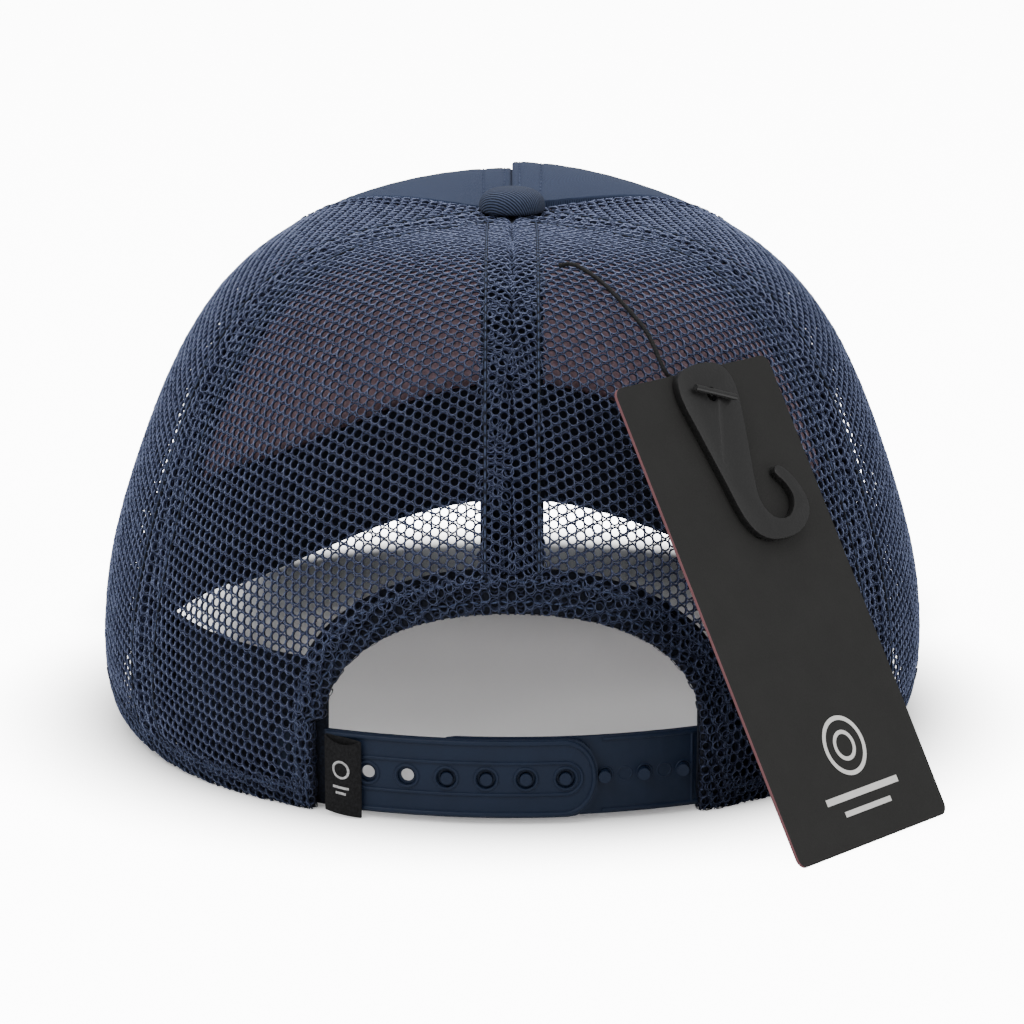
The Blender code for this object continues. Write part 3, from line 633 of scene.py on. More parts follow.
def tag_string():
    """Two-ply twist: a ring of points whose radius swells twice a turn, turning as it goes."""
    path = smooth_path(string_route(), 0.35)
    along = lengths(path)
    a = np.linspace(0, 2 * np.pi, 14, endpoint=False)[None]
    turn = 2 * np.pi * along[:, None] / 1.9
    radius = 0.55 * (0.60 + 0.40 * np.abs(np.cos(a - turn)) ** 1.2)
    profile = np.stack([radius * np.cos(a), radius * np.sin(a)], -1)
    cord = tube("string_twist", path, np.array([0.3, 0.6, 0.5]), profile, MATS["cord"], "tag")
    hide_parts("tag_string")


tag_string()


# ---------------------------------------------------------------- knitted mesh

HOLE_STEP = 2.08  # from hole to hole along a row
ROW_STEP = 2.42  # from row to row
ROW_TURN = 16.0  # rows fall by this angle towards the back
RING_R = 1.06
YARN = 0.42


class Gore:
    """Flat cloth of one panel laid onto the crown.

    X is across the cloth, positive towards the back, and Y up its middle line.  A point's
    distance up the crown is Y less the sagitta of the ring it lies on, and its angle is X over
    the ring's radius; what passes a seam is folded inwards there.
    """

    def __init__(self, middle, back, half=30.0):
        self.middle, self.back, self.half = middle, back, half
        t = np.linspace(0.0, t_ring(3.0), 600)
        p = crown(np.full_like(t, middle), t)
        self.t = t
        self.q = lengths(p)
        self.ring = np.linalg.norm(p[:, :2], axis=1)
        self.slope = np.clip(-np.gradient(self.ring, self.q), 0, 1)

    def angle_and_height(self, x, y):
        """Angle round the crown, distance up it, and how far past the seam."""
        ring = np.interp(y, self.q, self.ring)
        q = y - np.interp(y, self.q, self.slope) * x**2 / (2 * np.maximum(ring, 12.0))
        ring = np.maximum(np.interp(q, self.q, self.ring), 2.0)
        turn = np.degrees(x / ring)
        over = np.maximum(np.abs(turn) - self.half, 0) * ring * np.pi / 180
        turn = np.clip(turn, -self.half, self.half)
        return self.middle + self.back * turn, q, over

    def place(self, x, y, depth):
        """Crown point at a depth, with a lip, a hollow and a pressed line beside the seam."""
        phi, q, over = self.angle_and_height(x, y)
        off = np.radians(self.half - np.abs(phi - self.middle)) * np.maximum(np.interp(q, self.q,
                                                                                       self.ring),
                                                                                       2.0)
        lip = 0.9 * np.exp(-((off / 0.55) ** 2)) - 0.35 * np.exp(-(((off - 1.9) / 1.2) ** 2))
        pressed = 0.3 * np.exp(-(((off - 5.8) / 0.5) ** 2))
        return at_depth(phi, np.interp(q, self.q, self.t), depth + np.minimum(over, 1.6) + lip
                        + pressed)


def arch_share(x, z):
    """Below one inside the outline of the arch binding's outer edge."""
    half, top = ARCH_OUT
    up = np.clip((z - ARCH_LEG) / (top - ARCH_LEG), 0, None)
    return (np.abs(x) / half) ** ARCH_POWER + up**ARCH_POWER


def lattice(gore):
    """Middles of the holes of one panel, kept clear of the hem, the arch and the button."""
    turn = math.radians(ROW_TURN)
    along = np.array([math.cos(turn), -math.sin(turn)])
    across = np.array([math.sin(turn), math.cos(turn)])
    i, j = np.meshgrid(np.arange(-60, 61), np.arange(-30, 95))
    u = (i + 0.5 * (j % 2)) * HOLE_STEP
    v = j * ROW_STEP
    flat = u[..., None] * along + v[..., None] * across
    flat = flat.reshape(-1, 2)
    u, v = u.ravel(), v.ravel()
    wobble = RNG.normal(0, 0.05, flat.shape)
    flat = flat + wobble
    inside = (flat[:, 1] > -2) & (flat[:, 1] < gore.q[-1]) & (np.abs(flat[:, 0]) < 56)
    flat = flat[inside]
    phi, q, over = gore.angle_and_height(flat[:, 0], flat[:, 1])
    p = crown(phi, np.interp(q, gore.q, gore.t))
    keep = (over < 0.55) & (p[:, 2] > hem_height(phi) + HEM_TALL - 2.2) & (q < gore.q[-1] - 2.2)
    if abs(gore.middle) > 120:
        keep &= arch_share(p[:, 0], p[:, 2]) > 0.88
    return flat[keep], along, across


def yarn_uv(count, rings, levels=(0.0, 1.0, 0.0)):
    """UV whose height is 0 at a yarn's foot and 1 on its crest, and whose width differs by yarn.  The
    height places the painted shade at the foot and the painted highlight on the crest.
    """
    v = np.tile(np.array(levels), count * rings)
    u = np.repeat(RNG.uniform(0, 1, count), rings * len(levels))
    return np.stack([u, v], -1)


def repeated(base, count, size, flip):
    """Faces of one small shape, repeated for each copy."""
    faces = (base[None] + (np.arange(count) * size)[:, None, None]).reshape(-1, base.shape[1])
    return faces[:, ::-1] if flip else faces


def filament(place, flat, along, across, ux, uy, wide, high, low):
    """Three-sided yarn repeated at each flat place: ux, uy is its line, in cloth directions."""
    tri = np.array([[-wide / 2, low], [0.0, high], [wide / 2, low]])
    d = unit(np.stack([np.gradient(ux), np.gradient(uy)], -1))
    lx = ux[:, None] - d[:, 1, None] * tri[None, :, 0]
    ly = uy[:, None] + d[:, 0, None] * tri[None, :, 0]
    jig = RNG.normal(0, 0.04, (len(flat), 1, 1))
    x = flat[:, 0, None, None] + lx * along[0] + (ly + jig) * across[0]
    y = flat[:, 1, None, None] + lx * along[1] + (ly + jig) * across[1]
    return place(x, y, np.broadcast_to(tri[None, None, :, 1], x.shape) + jig)


def weave(name, place, flat, along, across, node, flip, mats=("ring", "strand"), deep=0.1,
          uneven=0.03, fine=0.17):
    """Broad rings of yarn round the holes, then a fine wavy strand between the rows and a fine
    loop under each hole, both lying on top."""
    count = len(flat)
    sides = 12
    a = np.linspace(0, 2 * np.pi, sides, endpoint=False)
    swell = 1 + RNG.normal(0, uneven, (count, 1, 1))
    skew = 1 + RNG.normal(0, uneven * 0.6, (count, 1, 1))
    profile = np.array([[-YARN / 2, 0.30], [-0.02, -0.08], [YARN / 2, 0.30]])
    radius = RING_R * (1 + 0.03 * np.cos(6 * a))[None, :, None] * swell + profile[None, None, :, 0]
    lift = RNG.normal(0, 0.03, (count, 1, 1)) + profile[None, None, :, 1]
    dx = radius * np.cos(a)[None, :, None] * skew
    dy = radius * np.sin(a)[None, :, None] * 1.07 / skew
    x = flat[:, 0, None, None] + dx * along[0] + dy * across[0]
    y = flat[:, 1, None, None] + dx * along[1] + dy * across[1]
    pieces = [put(name + "_rings", place(x, y, lift + deep),
                  repeated(ring_faces(sides, 3, closed=True), count, sides * 3, flip),
                  MATS[mats[0]], uv=yarn_uv(count, sides), sharp=0)]
    # the fine strands and loops take the second finish, whose pale colour is a painted highlight
    if mats[1]:
        s = np.linspace(-0.5, 0.5, 6) * HOLE_STEP * 1.02
        turn = np.radians(np.linspace(-205, 25, 8))
        for k, (ux, uy) in enumerate(((s, ROW_STEP / 2 + 0.30 * np.cos(2 * np.pi * s / HOLE_STEP)),
                                      (1.02 * np.cos(turn), 1.10 * np.sin(turn) - 0.08))):
            points = filament(place, flat, along, across, ux, uy, fine, deep - 0.30, deep - 0.04)
            pieces.append(put(f"{name}_strands_{k}", points,
                              repeated(ring_faces(len(ux), 3), count, len(ux) * 3, flip),
                              MATS[mats[1]], uv=yarn_uv(count, len(ux)), sharp=0))
    for piece in pieces:
        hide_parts(node)


def knit(name, gore, node):
    """One panel's cloth: the weave laid at every hole of its lattice."""
    flat, along, across = lattice(gore)
    weave(name, gore.place, flat, along, across, node, gore.back > 0)


for side, sign in SIDES:
    knit("knit_back_" + side, Gore(150.0 * sign, sign), "mesh_back_" + side)
    knit("knit_side_" + side, Gore(90.0 * sign, sign), "mesh_side_" + side)


# ---------------------------------------------------------------- cloth bands and seams


def arch_at(a, share, depth):
    """Point of the arch band: a runs from the right foot over the top to the left foot in
    millimetres along the middle of the band, share from the inner to the outer edge.  The
    left leg is let in at its inner edge, for the strap and the label to swing."""
    half = ARCH_IN[0] + (ARCH_OUT[0] - ARCH_IN[0]) * share
    top = ARCH_IN[1] + (ARCH_OUT[1] - ARCH_IN[1]) * share
    turn = np.interp(a, ARCH_LENGTH, ARCH_ANGLE)
    low = np.where(a < ARCH_LENGTH[0], a - ARCH_LENGTH[0],
                   np.where(a > ARCH_LENGTH[-1], ARCH_LENGTH[-1] - a, 0.0))
    c, s = np.cos(turn), np.sin(turn)
    x = half * np.sign(c) * np.abs(c) ** (2 / ARCH_POWER)
    z = ARCH_LEG + (top - ARCH_LEG) * np.abs(s) ** (2 / ARCH_POWER) + low
    back = np.clip((22.4 - z) / 1.6, 0, 1)
    x = x - (x < 0) * 2.25 * (1 - np.clip(share, 0, 1)) * back * back * (3 - 2 * back)
    phi, t = on_back(x, np.maximum(z, 0.0))
    return at_depth(phi, t, depth)


def arch_table():
    """Angle against length of the middle of the arch band."""
    a = np.linspace(0, np.pi, 1201)
    half, top = (ARCH_IN[0] + ARCH_OUT[0]) / 2, (ARCH_IN[1] + ARCH_OUT[1]) / 2
    x = half * np.sign(np.cos(a)) * np.abs(np.cos(a)) ** (2 / ARCH_POWER)
    z = ARCH_LEG + (top - ARCH_LEG) * np.abs(np.sin(a)) ** (2 / ARCH_POWER)
    step = np.hypot(np.diff(x), np.diff(z))
    return ARCH_LEG + np.concatenate([[0], np.cumsum(step)]), a


ARCH_LENGTH, ARCH_ANGLE = arch_table()
ARCH_ALL = ARCH_LENGTH[-1] + ARCH_LEG


def arch_cloth():
    """Core of the folded edge: a strip round the arch, drawn in at both of its edges."""
    a = np.linspace(0.2, ARCH_ALL - 0.2, 420)
    share = np.concatenate([[0.0, 0.01, 0.04], np.linspace(0.1, 0.93, 9),
                            [0.985, 1.0, 1.02, 1.22]])
    grid_a, grid_w = np.meshgrid(a, share, indexing="ij")
    rounding = 0.9 * np.clip(1 - grid_w / 0.12, 0, 1) ** 2 + 0.5 * np.clip((grid_w - 0.9) / 0.1, 0,
                                                                           1) ** 2 + 0.8 * (grid_w > 1.01)
    ripple = 0.10 * np.sin(grid_a * 2 * np.pi / 2.1) * np.cos(grid_w * 9)
    outer = arch_at(grid_a, grid_w, 0.55 + 0.6 * rounding + ripple)
    inner = arch_at(grid_a, grid_w, 1.6 - rounding * 0.3)
    piece = slab("arch_fold_cloth", outer, inner, MATS["fold"])
    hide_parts("arch_binding")


def flat_lattice(x0, x1, y0, y1, turn, step=HOLE_STEP, row=ROW_STEP):
    """Hole middles of a turned lattice inside a flat box, with its two directions."""
    turn = math.radians(turn)
    along = np.array([math.cos(turn), -math.sin(turn)])
    across = np.array([math.sin(turn), math.cos(turn)])
    span = int((abs(x1 - x0) + abs(y1 - y0)) / step) + 4
    i, j = np.meshgrid(np.arange(-span, span + 1), np.arange(-span, span + 1))
    flat = (((i + 0.5 * (j % 2)) * step)[..., None] * along
            + (j * row)[..., None] * across).reshape(-1, 2)
    flat = flat + np.array([(x0 + x1) / 2, (y0 + y1) / 2])
    keep = (flat[:, 0] > x0) & (flat[:, 0] < x1) & (flat[:, 1] > y0) & (flat[:, 1] < y1)
    return flat[keep] + RNG.normal(0, 0.07, (keep.sum(), 2)), along, across


ARCH_WIDE = 6.9  # width of the arch band at its middle, for turning millimetres into a share


def arch_place(x, y, depth):
    """Cloth on the arch band: past either edge it turns under."""
    share = y / ARCH_WIDE
    under = np.maximum(-share, 0) * ARCH_WIDE
    over = np.maximum(share - 1, 0) * ARCH_WIDE
    lift = -0.35 + 0.35 * np.clip(1 - share / 0.15, 0, 1) + 0.25 * np.clip((share - 0.9) / 0.1, 0,
                                                                           1)
    line = np.exp(-(((y - 5.9) / 0.5) ** 2)) + np.exp(-(((y - 2.2) / 0.45) ** 2))
    return arch_at(np.clip(x, 0.1, ARCH_ALL - 0.1), np.clip(share, -0.02, 1.02),
                   depth + lift + 0.3 * line + np.minimum(under, 1.5)
                   + np.minimum(over, 1.0) * 0.8)


def arch_band():
    """Folded edge round the arch: its core, two layers of loops and two rows of stitches."""
    arch_cloth()
    flat, along, across = flat_lattice(0.6, ARCH_ALL - 0.6, -0.9, 7.4, 22.0)
    weave("arch_fold_loops", arch_place, flat, along, across, "arch_binding", True,
          ("fold_ring", "fold_strand"), 0.05, 0.07)
    flat, along, across = flat_lattice(0.6, ARCH_ALL - 0.6, -0.7, 7.2, -24.0)
    weave("arch_under_loops", arch_place, flat, along, across, "arch_binding", True,
          ("fold_ring", None), 0.55, 0.08)
    a = np.linspace(0.5, ARCH_ALL - 0.5, 900)
    for k, y in enumerate((5.9, 2.2)):
        phi_path = arch_place(a, np.full_like(a, y) + 0.12 * np.sin(a * 1.9), np.full_like(a, 0.0))
        normal = unit(phi_path - arch_place(a, np.full_like(a, y), np.full_like(a, 1.0)))
        row = stitches(f"arch_stitches_{k}", phi_path, normal, 2.3, 2.0, 0.42)


arch_band()


def hem_place(gore, x, y, depth):
    """Cloth on a hem: y is the height above the hem's edge, and past it the cloth turns under."""
    ring = float(np.interp(12.0, gore.q, gore.ring))
    turn = np.degrees(x / ring)
    over = np.maximum(np.abs(turn) - gore.half, 0) * ring * np.pi / 180
    phi = gore.middle + gore.back * np.clip(turn, -gore.half, gore.half)
    under = np.maximum(-y, 0)
    z = hem_height(phi) + np.maximum(y, 0.0)
    lift = -0.35 + 0.35 * np.clip(1 - y / 1.0, 0, 1)
    line = np.exp(-(((y - 4.9) / 0.45) ** 2))
    return at_depth(phi, t_at(z), depth + lift + 0.3 * line + np.minimum(under, 1.5)
                    + np.minimum(over, 1.2))


def hems():
    """Folded bottom edge of each mesh panel: a core strip, two layers of loops and stitches."""
    for side, sign in SIDES:
        node = "hem_" + side
        first, last = 60.2, 151.0
        phi = sign * np.linspace(first, last, 420)
        w = np.concatenate([[0.0, 0.15, 0.5], np.linspace(1.0, HEM_TALL - 0.4, 7), [HEM_TALL]])
        grid_phi, grid_w = np.meshgrid(phi, w, indexing="ij")
        rounding = 0.8 * np.clip(1 - grid_w / 0.8, 0,
                                 1) ** 2 + 0.6 * np.clip((grid_w - HEM_TALL + 0.8) / 0.8, 0, 1)
        t = t_at(hem_height(grid_phi) + grid_w)
        core = slab("hem_cloth_" + side, at_depth(grid_phi, t, 0.6 + 0.6 * rounding),
                    at_depth(grid_phi, t, 1.5 - rounding * 0.2), MATS["fold"])
        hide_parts(node)
        for middle, low, high, tag in ((90.0, -50, 50, "side"), (150.0, -50, 2.0, "back")):
            gore = Gore(sign * middle, sign)
            for layer, (turn, deep,
                        mats) in enumerate(((ROW_TURN, 0.05, ("fold_ring", "fold_strand")),
                                                        (-14.0, 0.5, ("fold_ring", None)))):
                flat, along, across = flat_lattice(low, high, -1.1, HEM_TALL + 0.3, turn)
                ring = float(np.interp(12.0, gore.q, gore.ring))
                flat = flat[np.abs(flat[:, 0]) < math.radians(30) * ring + 0.5]
                weave(f"hem_loops_{tag}_{side}_{layer}", lambda x, y, d,
                      g=gore: hem_place(g, x, y, d),
                      flat, along, across, node, sign > 0, mats, deep, 0.06)
        path_phi = sign * np.linspace(61, 150, 900)
        t = t_at(hem_height(path_phi) + 4.9)
        row = stitches("hem_stitches_" + side, at_depth(path_phi, t, -0.15 + 0 * path_phi),
                       outward(path_phi, t), 2.3, 2.0, 0.42)


hems()


def seam_path(phi0, offset, start, end, depth, count=700):
    """Line up the crown beside a seam, offset millimetres round from it."""
    t = np.linspace(start, end, count)
    ring = np.linalg.norm(crown(np.full_like(t, phi0), t)[:, :2], axis=1)
    phi = phi0 + np.degrees(offset / np.maximum(ring, abs(offset) * 1.3 + 0.1))
    return phi, t, at_depth(phi, t, np.full_like(t, depth))


def seam_band(name, phi0, low_z, tape):
    """Seam allowance under the mesh on both sides of a seam, with a stitch row over each."""
    start, end = float(t_at(low_z)), t_ring(7.5)
    for k, offset in enumerate((-5.8, 5.8)):
        phi, t, path = seam_path(phi0, offset, start, end, -0.2)
        row = stitches(f"{name}_stitches_{k}", path, outward(phi, t), 2.5, 2.1, 0.42)
        phi, t, path = seam_path(phi0, offset, start, end, 0.15, 500)
        ridge = tube(f"{name}_ridge_{k}", path, outward(phi, t), circle(0.36, 6), MATS["fold"])
    q = np.linspace(start, end, 400)
    points = crown(np.full_like(q, phi0), q)
    length = lengths(points)
    for k, sign in enumerate((-1, 1)):
        flat, along, across = flat_lattice(0.5, 6.6, 0.5, length[-1] - 1, 30.0 * sign, 2.08, 2.2)

        def place(x, y, d, sign=sign):
            t = np.interp(y, length, q)
            ring = np.linalg.norm(crown(np.full_like(t, phi0), t)[..., :2], axis=-1)
            phi = phi0 + sign * np.degrees(np.minimum(x, ring * 0.5) / np.maximum(ring, 2.0))
            return at_depth(phi, t, d + 0.5)

        weave(f"{name}_allowance_{k}", place, flat, along, across, tape, sign > 0,
              ("ring", "strand"), 0.1, 0.08)


seam_band("seam_back", 180.0, ARCH_OUT[1] + 0.3, "mesh_back_left")
for side, sign in SIDES:
    seam_band("seam_rear_" + side, sign * 120.0, float(hem_height(120.0)) + HEM_TALL - 0.3,
              "mesh_back_" + side)
    phi0 = sign * 60.0
    start, end = float(t_at(hem_height(60.0) + 2.0)), t_ring(9.0)
    for k, offset in enumerate((-1.6, -7.0)):
        phi, t, path = seam_path(phi0, sign * offset, start, end, -0.05)
        row = stitches(f"front_seam_{side}_{k}", path, outward(phi, t), 2.6, 2.2, 0.45)


# ---------------------------------------------------------------- front panels and button


def proud_at(off, t, sign):
    """How far a front panel stands out: a bell across it, rising smoothly towards the top."""
    high = np.clip((t - 0.45) / 0.3, 0, 1)
    return (1.7 if sign > 0 else 0.2) * np.exp(-((off / 26.0) ** 2)) * high * high * (3 - 2 * high)


def front_panel(side, sign):
    """Solid panel, its UV in millimetres of cloth; the right one is folded over the left at
    the middle and stands a little proud there towards the top."""
    u = np.concatenate([[0.0, 0.03, 0.12, 0.3, 0.7], np.linspace(1.3, 58.6, 90),
                        [59.3, 59.75, 60.0]])
    v = np.linspace(0, 1, 150)
    grid_u, grid_v = np.meshgrid(u, v, indexing="ij")
    phi = sign * grid_u
    low = t_at(hem_height(phi))
    t = low + (t_ring(6.0) - low) * grid_v
    ring = np.linalg.norm(crown(phi, t)[..., :2], axis=-1)
    off = np.radians(grid_u) * ring
    proud = proud_at(off, t, sign)
    edge = 0.5 * np.clip(1 - off / 0.7, 0, 1) ** 2 + 0.5 * np.clip(1 - (60 - grid_u) / 0.9, 0,
                                                                   1) ** 2
    hem = 0.5 * np.clip(1 - grid_v / 0.008, 0, 1)
    line = 0.25 * (np.exp(-(((off - 1.8) / 0.4) ** 2)) + np.exp(-(((off - 7.0) / 0.5) ** 2)))
    ripple = 0.05 * np.sin(off * 0.9 + 3 * np.sin(t * 9)) * np.exp(-off / 30)
    outer = at_depth(phi, t, -proud + edge + hem + line - 0.15 + ripple)
    inner = at_depth(phi, t, 1.2 - proud * 0.4)
    length = np.cumsum(np.linalg.norm(np.diff(outer, axis=1, prepend=outer[:, :1]), axis=-1),
                       axis=1)
    uv = np.stack([np.radians(phi) * 75.0, length], -1)
    piece = slab("front_cloth_" + side, outer, inner, MATS["twill"], uv=uv)
    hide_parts("front_panel_" + side)
    t = np.linspace(float(t_at(24.0)), t_ring(9.0), 800)
    ring = np.linalg.norm(crown(np.zeros_like(t), t)[:, :2], axis=1)
    for k, offset in enumerate((1.8, 7.0)):
        phi = sign * np.degrees(offset / np.maximum(ring, offset * 1.3))
        lift = proud_at(offset, t, sign)
        row = stitches(f"front_middle_{side}_{k}", at_depth(phi, t, 0.02 - lift), outward(phi, t),
                       2.6, 2.2, 0.45)


front_panel("left", -1)
front_panel("right", 1)


def button():
    """Cloth-covered button: a superellipse dome on a short upright side, turned all round."""
    base = float(crown(0.0, 1.0)[2]) + 0.2
    s = np.linspace(0, 1, 40)
    angle = s * np.pi / 2
    r = 7.75 * np.cos(angle) ** 0.62
    z = base + 0.9 + 4.9 * np.sin(angle) ** 0.85
    r = np.concatenate([[0.0, 4.0, 6.8, 7.5], r[:-1], [0.0]])
    z = np.concatenate([[base] * 3, [base + 0.35], z])
    a = np.linspace(0, 2 * np.pi, 96, endpoint=False)
    r[0], r[-1] = 1e-3, 1e-3
    points = np.stack([r[:, None] * np.cos(a), r[:, None] * np.sin(a), z[:, None] + 0 * a], -1)
    length = np.cumsum(np.hypot(np.diff(r, prepend=r[0]), np.diff(z, prepend=z[0])))
    flat = length[-1] - length
    uv = np.stack([flat[:, None] * np.cos(a), flat[:, None] * np.sin(a)], -1)
    rings, sides = points.shape[:2]
    faces = oriented(points.reshape(-1, 3), ring_faces(rings, sides))
    piece = put("button_cover", points, faces, MATS["button"], uv=uv.reshape(-1, 2), sharp=0)
    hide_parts("crown_button")


button()


def peak_cloth():
    """Round scrap of cloth under the button, where the panels' points meet."""
    a = np.linspace(0, 2 * np.pi, 64, endpoint=True)
    r = np.linspace(1.7, 9.5, 8)
    t = np.array([t_ring(float(k)) for k in r])
    grid_phi, grid_t = np.meshgrid(np.degrees(a), t, indexing="ij")
    outer = at_depth(grid_phi, grid_t, np.full_like(grid_t, 0.35))
    inner = at_depth(grid_phi, grid_t, np.full_like(grid_t, 0.9))
    rows, cols = outer.shape[:2]
    rows -= 1
    points = np.stack([outer[:-1], inner[:-1, ::-1]], 1).reshape(rows, 2 * cols, 3)
    piece = put("peak_cloth", points,
                oriented(points.reshape(-1, 3), ring_faces(rows, 2 * cols, closed=True)),
                MATS["fold"], sharp=40)


def leg_lining():
    """Ends of the sweatband, showing as a dark strip inside each leg of the arch."""
    for side, sign in SIDES:
        x = sign * np.linspace(41.9 if sign < 0 else 41.4, 46.0, 12)
        deep = 3.3 if sign < 0 else 1.7
        z = np.linspace(0.6, 33.0, 50)
        grid_x, grid_z = np.meshgrid(x, z, indexing="ij")
        phi, t = on_back(grid_x, grid_z)
        piece = slab("leg_lining_" + side, at_depth(phi, t, np.full_like(t, deep)),
                     at_depth(phi, t, np.full_like(t, deep + 0.8)), MATS["band"])


peak_cloth()
leg_lining()


# ---------------------------------------------------------------- brim


def brim_at(u, v, lift):
    """Point of the brim: u from side to side, v from the crown to the rim, lift upwards."""
    u, v, lift = np.broadcast_arrays(np.asarray(u, float), np.asarray(v, float),
                                     np.asarray(lift, float))
    phi = 0.96 * TEMPLE * u
    inner = at_depth(phi, t_at(hem_height(phi)), np.full_like(u, -0.6))
    psi = u * np.pi / 2
    a = np.abs(u)
    x, y = 76 * np.sin(psi), 66 + 99 * np.abs(np.cos(psi)) ** 0.5
    z = np.where(a < 0.62, 16.2 * np.cos(np.clip(a / 0.62, 0, 1) * np.pi / 2) ** 2,
                 12 * np.sin(np.clip((a - 0.62) / 0.38, 0, 1) * np.pi / 2) ** 2) + 2.2
    outer = np.stack([x, y, z], -1)
    p = inner + (outer - inner) * v[..., None]
    p[..., 2] += 1.5 * np.sin(np.pi * v) * np.cos(psi) + lift
    return p


def brim():
    """Cloth over and under the board, meeting in a rolled edge, with six rows of stitches."""
    u = np.sin(np.linspace(-1, 1, 180) * np.pi / 2)
    v = np.concatenate([[0.0, 0.01], np.linspace(0.03, 0.955, 60), [0.975, 0.988, 0.996, 1.0]])
    grid_u, grid_v = np.meshgrid(u, v, indexing="ij")
    roll = np.sqrt(np.clip(1 - np.clip((grid_v - 0.955) / 0.045, 0, 1) ** 2, 0, 1))
    tips = np.sqrt(np.clip(1 - np.clip((np.abs(grid_u) - 0.985) / 0.015, 0, 1) ** 2, 0, 1))
    rows = sum(np.exp(-(((grid_v - k) / 0.006) ** 2)) for k in BRIM_ROWS)
    top = brim_at(grid_u, grid_v, 0.1 + 2.1 * roll * np.maximum(tips, 0.3) - 0.15 * rows)
    middle = brim_at(grid_u, grid_v, 0.0)
    low = brim_at(grid_u, grid_v, -0.1 - 2.1 * roll * np.maximum(tips, 0.3) + 0.15 * rows)
    along = np.cumsum(np.linalg.norm(np.diff(top, axis=0, prepend=top[:1]), axis=-1), axis=0)
    out = np.cumsum(np.linalg.norm(np.diff(top, axis=1, prepend=top[:, :1]), axis=-1), axis=1)
    uv = np.stack([along, out], -1)
    for name, a, b, node in (("brim_top_cloth", top, middle, "brim_top_fabric"),
                             ("brim_under_cloth", middle - [0, 0, 0.02], low,
                              "brim_under_fabric")):
        piece = slab(name, a, b, MATS["twill"], uv=uv)
        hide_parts(node)
    u = np.linspace(-0.985, 0.985, 700)
    for k, v in enumerate(BRIM_ROWS):
        path = brim_at(u, np.full_like(u, v), np.full_like(u, 2.05))
        row = stitches(f"brim_stitches_{k}", path, np.array([0, 0, 1.0]), 2.6, 2.2, 0.42)


BRIM_ROWS = (0.12, 0.27, 0.42, 0.57, 0.72, 0.88)
brim()


# ---------------------------------------------------------------- snap straps


def recolour(mat, *names):
    """Gives carried-over pieces one of the finishes."""
    for name in names:
        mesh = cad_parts[name].data
        mesh.materials.clear()
        mesh.materials.append(mat)


def soften(name, width, segments=3):
    """Rounds the edges of a carried-over piece."""
    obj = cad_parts[name]
    weld = obj.modifiers.new("weld", "WELD")
    weld.merge_threshold = 1e-6
    bevel = obj.modifiers.new("bevel", "BEVEL")
    bevel.width = width * MM
    bevel.segments = segments
    bevel.limit_method = "ANGLE"
    bevel.angle_limit = math.radians(35)
    bevel.harden_normals = False
    obj.data.shade_smooth()


def strap_y(x, offset):
    """Plane of a strap: a shallow parabola that runs through both of its stitchings."""
    return STRAP_ROOT_Y - STRAP_BEND * STRAP_X**2 + STRAP_BEND * x**2 + offset


def on_strap(x, z, offset, out):
    """Point over a strap's middle surface, out towards the back."""
    x, z = np.broadcast_arrays(np.asarray(x, float), np.asarray(z, float))
    slope = 2 * STRAP_BEND * x
    n = unit(np.stack([slope, -np.ones_like(x), np.zeros_like(x)], -1))
    return np.stack([x, strap_y(x, offset), z], -1) + np.asarray(out, float)[..., None] * n


def stadium(x0, x1, z0, r, steps=22, spacing=0.6):
    """Closed outline of a straight slot with round ends, as (x, z)."""
    a = np.linspace(-np.pi / 2, np.pi / 2, steps)
    right = np.stack([x1 + r * np.cos(a), z0 + r * np.sin(a)], -1)
    left = np.stack([x0 - r * np.cos(a), z0 - r * np.sin(a)], -1)
    n = max(2, int(abs(x1 - x0) / spacing))
    bottom = np.stack([np.linspace(x0, x1, n)[1:-1], np.full(n - 2, z0 - r)], -1)
    return np.concatenate([bottom, right, bottom[::-1] * [1, 0] + [0, z0 + r], left])


def raised_rib(name, outline, offset, out, wide, high, body, closed=True):
    """Low rounded rib following an outline on a strap, its foot sunk in the surface."""
    flat = np.asarray(outline, float)
    if closed:
        d = np.roll(flat, -1, 0) - np.roll(flat, 1, 0)
    else:
        d = np.gradient(flat, axis=0)
    d = unit(d)
    side = np.stack([-d[:, 1], d[:, 0]], -1)
    s = np.array([-1.0, -0.82, -0.45, 0.0, 0.45, 0.82, 1.0])
    lift = np.array([-0.15, 0.62, 0.94, 1.0, 0.94, 0.62, -0.15]) * high
    x = flat[:, 0, None] + side[:, 0, None] * s * wide / 2
    z = flat[:, 1, None] + side[:, 1, None] * s * wide / 2
    points = on_strap(x, z, offset, out + np.broadcast_to(lift, x.shape) * np.sign(out))
    rings, sides = x.shape
    faces = oriented(points.reshape(-1, 3), ring_faces(rings, sides, closed=closed))
    piece = put(name, points, faces, MATS["strap"], body, sharp=60)
    return piece


def collar(name, x, offset, body, through=1.42, hole=2.16):
    """Step inside a hole: a thin washer on the strap's inner side."""
    a = np.linspace(0, 2 * np.pi, 40, endpoint=False)
    profile = [(hole, -0.56), (hole, -0.05), (hole - 0.1, 0.0), (through + 0.08, 0.0),
               (through, -0.08),
               (through, -0.56)]
    points = np.stack([on_strap(x + r * np.cos(a), STRAP_MIDDLE + r * np.sin(a), offset,
                                np.full_like(a, c))
                       for r, c in profile])
    faces = oriented(points.reshape(-1, 3), ring_faces(len(profile), 40, closed=True))
    piece = put(name, points, faces, MATS["strap"], body, sharp=40)


